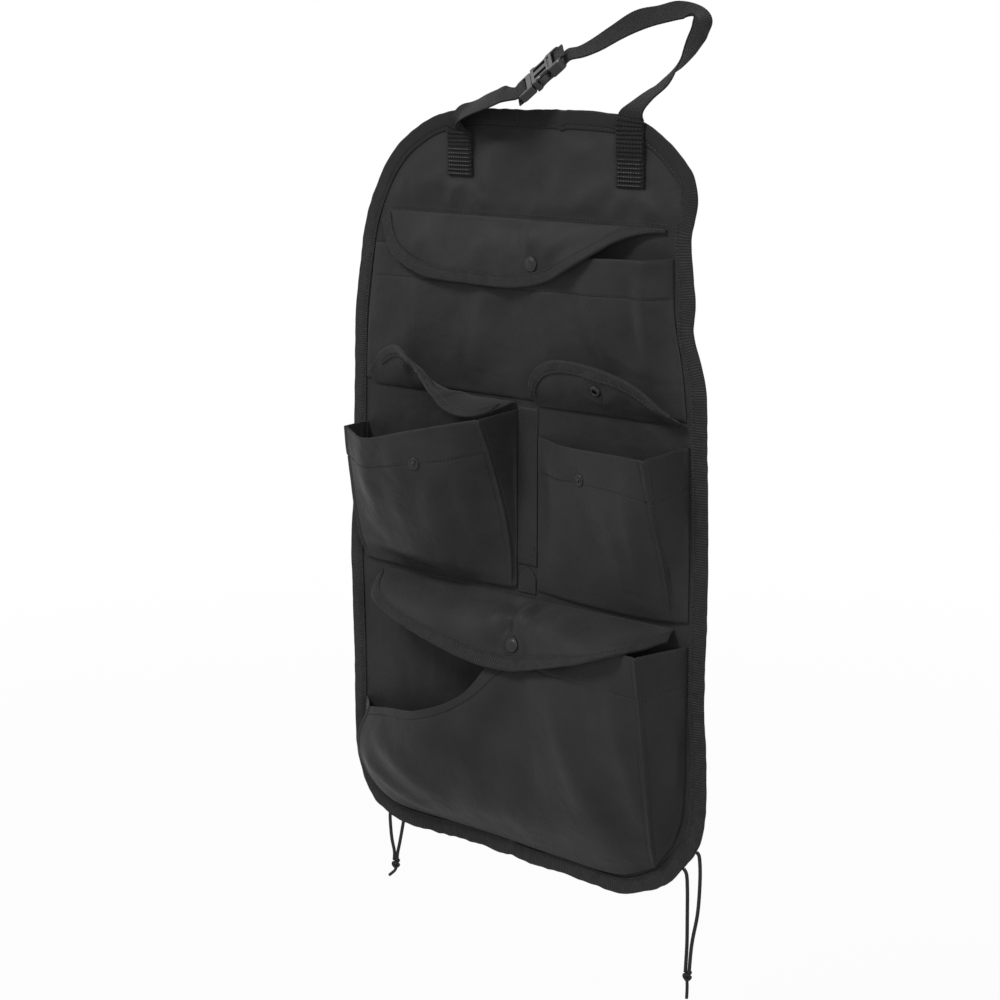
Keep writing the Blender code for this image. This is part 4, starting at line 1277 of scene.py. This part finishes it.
RIGHT_STATIONS += on_bar((35, -3.4), (29.5, -3.0), (26.0, -2.75), (24.5, -2.1), (24.0, 0), (24.5, 2.1),
                         (26.0, 2.75), (29.5, 3.0), (33.5, 2.8))

LEFT_STATIONS = [((-61, WEB_ON_PANEL, z), (-1, 0, 0)) for z in (264, 273, 282, 290)]
LEFT_STATIONS += [
    ((-61, WEB_ON_TAPE - 0.3, 299), (-1, 0, 0)),
    ((-59.5, -6, 304.5), (-0.95, 0.28, 0.10)),
    ((-56, -9.5, 311), (-0.62, 0.68, 0.38)),
    ((-47, -13.5, 315.5), (-0.20, 0.82, 0.52)),
    ((-37, -16.5, 319), (-0.05, 0.83, 0.56)),
    ((-27, -19, 322.5), (-0.08, 0.82, 0.56)),
    ((-13, -22, 326.5), (-0.25, 0.80, 0.50)),
    ((0, -22.8, 330.5), (-0.50, 0.74, 0.42)),
]
LEFT_STATIONS += on_bar((-17.5, 3.3), (-13, 3.0), (-9.6, 2.75), (-8.1, 2.1), (-7.6, 0), (-8.1, -2.1),
                        (-9.6, -2.75), (-13, -3.0), (-19, -2.8))
BAR_ROW = 3.3


def webbing(name, stations, columns, node, sewn):
    """Woven webbing through stations of place and width direction, rippled where it is sewn on."""
    path = metres([place for place, across in stations])
    widths = [Vector(across) for place, across in stations]
    shares = (-1, -0.94, -0.6, -0.2, 0.2, 0.6, 0.94, 1)
    rows = []
    for i in range(columns + 1):
        t = i / columns
        middle = spline(path, t)
        ahead = spline(path, min(t + 0.004, 1)) - spline(path, max(t - 0.004, 0))
        across = spline(widths, t)
        across = (across - ahead * across.dot(ahead) / ahead.length_squared).normalized()
        notch = 0.18 * MM * (1 if i % 3 == 0 else -0.5)
        height = (middle.z / MM - stations[0][0][2]) / BAR_ROW
        hold = 1 - smooth(sewn - 6, sewn, middle.z / MM)
        ripple = 0.75 * MM * (1 - math.cos(2 * math.pi * height)) * hold
        line = []
        for share in shares:
            edge = notch if abs(share) == 1 else 0.0
            line.append(middle + across * (WEBBING_WIDTH / 2 + edge) * share + FORWARD * ripple)
        rows.append(line)
    corners, faces, places = closed_sheet(rows, WEBBING_THICK)
    places = [(v, u) for u, v in places]
    return show(name, corners, faces, WEBBING, places, [node], body=None)


right_webbing = webbing("right_webbing", RIGHT_STATIONS, 900, "strap_right", 318)
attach(right_webbing, "panel")
left_webbing = webbing("left_webbing", LEFT_STATIONS, 560, "strap_left", 306)
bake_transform(left_webbing)

for label, x, bottom, rows in (("right", 112, 262, 8), ("left", -61, 264, 7)):
    for k in range(rows):
        z = bottom + (k + 0.5) * BAR_ROW
        depth = WEB_ON_PANEL * MM - WEBBING_THICK / 2 - 1.5 * MM
        path = [Vector(((x + reach) * MM, depth, z * MM)) for reach in (-11.5, 11.5)]
        stitch(label + "_bar_stitches", path, [FORWARD] * 2, 2.4 * MM, 1.3 * MM, 0.40 * MM)
    # The bar stitches get the pale thread whose colour is a painted highlight.
    sew(label + "_bar_stitches", BAR_THREAD_PAINTED_GLINTS)


# Elastic ties
def strand(name, path, count, radius, nodes):
    """A round elastic strand through a path in metres."""
    curve = bpy.data.curves.new(name, "CURVE")
    curve.dimensions = "3D"
    curve.bevel_depth = radius
    curve.bevel_resolution = 5
    curve.use_fill_caps = True
    curve.materials.append(ELASTIC)
    line = curve.splines.new("POLY")
    line.points.add(count - 1)
    for index in range(count):
        line.points[index].co = (*spline(path, index / (count - 1)), 1.0)
    return declare(added(name, curve), nodes)


def tie_cord(name, path, node):
    points = metres(path)
    made = strand(name, points, 40, CORD_RADIUS, [node])
    length = distances([point.co for point in made.data.splines[0].points])[-1]


def tie_knot(label, centre, end):
    """An overhand knot with its short end: strands wound round each other."""
    path = []
    for k in range(40):
        angle = 2 * math.pi * k / 16
        height = 2.6 - 5.2 * k / 39
        radius = 2.3 + 0.5 * math.sin(angle * 1.5)
        turn = Vector((radius * math.cos(angle), radius * 0.9 * math.sin(angle),
                       height + 1.1 * math.sin(angle * 1.5)))
        path.append((Vector(centre) + turn) * MM)
    return strand(label + "_tie_knot", path + metres(end), 90, 1.35 * MM,
                  [label + "_cord_knot", label + "_cord_end"])


left_knot = tie_knot("left", (-138.5, -7.5, -357.4),
                     [(-138.5, -7.5, -361.5), (-140, -7.6, -364.5), (-146, -8, -370)])
right_knot = tie_knot("right", (180, -3, -371.4),
                      [(180, -3, -375.5), (180.3, -3, -383), (180, -3, -391)])
tie_cord("left_tie_outer", [(-150.3, -1.4, -313.1), (-149.4, -2.5, -319), (-145, -5.5, -334),
                            (-140.5, -7, -346), (-140.4, -7.5, -354.1)], "left_cord_outer")
tie_cord("left_tie_inner", [(-134, -1.4, -316.9), (-134.2, -2.5, -322), (-135, -5.5, -336),
                            (-136.6, -7, -347), (-136.7, -7.5, -354.1)], "left_cord_inner")
tie_cord("right_tie_outer", [(185.7, -1.4, -262.8), (188.9, -2, -267), (190.6, -3, -285),
                             (189, -3, -314), (184, -3, -342), (181.8, -3, -368.1)],
         "right_cord_outer")
tie_cord("right_tie_inner", [(173.4, -1.4, -280.2), (176.8, -2, -284.6), (178.6, -3, -298),
                             (179, -3, -320), (179.2, -3, -344), (178.2, -3, -368.1)],
         "right_cord_inner")


# Floor, lights and background
def lamp(name, place, size, power):
    """A rectangular lamp that shines at the middle of the object."""
    light = bpy.data.lights.new(name, "AREA")
    light.shape = "RECTANGLE"
    light.size, light.size_y = size
    light.energy = power
    made = added(name, light)
    made.location = place
    made.rotation_euler = Vector(place).to_track_quat("Z", "Y").to_euler()


lamp("key", (-0.5, -2.1, 2.5), (0.8, 0.8), 92)
lamp("fill", (2.6, -1.7, 0.9), (1.0, 1.2), 46)
lamp("top", (0.2, 0.6, 2.6), (1.8, 1.4), 8)

FLOOR_REACH = 200
FLOOR_AT = -0.75
floor_mesh = bpy.data.meshes.new("floor")
floor_mesh.from_pydata([(x * FLOOR_REACH, y * FLOOR_REACH, FLOOR_AT)
                        for x, y in ((-1, -1), (1, -1), (1, 1), (-1, 1))], [], [(0, 1, 2, 3)])
added("floor", floor_mesh)
floor_look = Look("pale_floor", 0.9, 0.0)
floor_mesh.materials.append(floor_look.owner)
away = floor_look.node("ShaderNodeVectorMath", {0: floor_look.node("ShaderNodeTexCoord", {})["Object"]},
                       operation="LENGTH")["Value"]
white = floor_look.node("ShaderNodeMapRange", {"Value": away, "From Min": 1.0, "From Max": 3.0,
                                               "To Min": 0.95, "To Max": 1.0})["Result"]
mixed = floor_look.node("ShaderNodeMixShader", {
    0: floor_look.math("MULTIPLY", floor_look.seen_rays(), white),
    1: floor_look.shader.outputs[0],
    2: floor_look.node("ShaderNodeEmission", {})[0],
})[0]
floor_look.put(floor_look.shader, {"Base Color": (0.6, 0.6, 0.6, 1)})
floor_look.put(floor_look.tree.nodes["Material Output"], {"Surface": mixed})

WORLD_LIGHT = 0.26
world = bpy.data.worlds.new("studio")
bpy.context.scene.world = world
studio = Graph(world)
level = studio.node("ShaderNodeMix", {"A": WORLD_LIGHT, "B": 1.0, "Factor": studio.seen_rays()},
                    data_type="FLOAT")["Result"]
studio.put(studio.tree.nodes["Background"], {"Color": (1, 1, 1, 1), "Strength": level})

bpy.context.scene.view_settings.view_transform = "Standard"
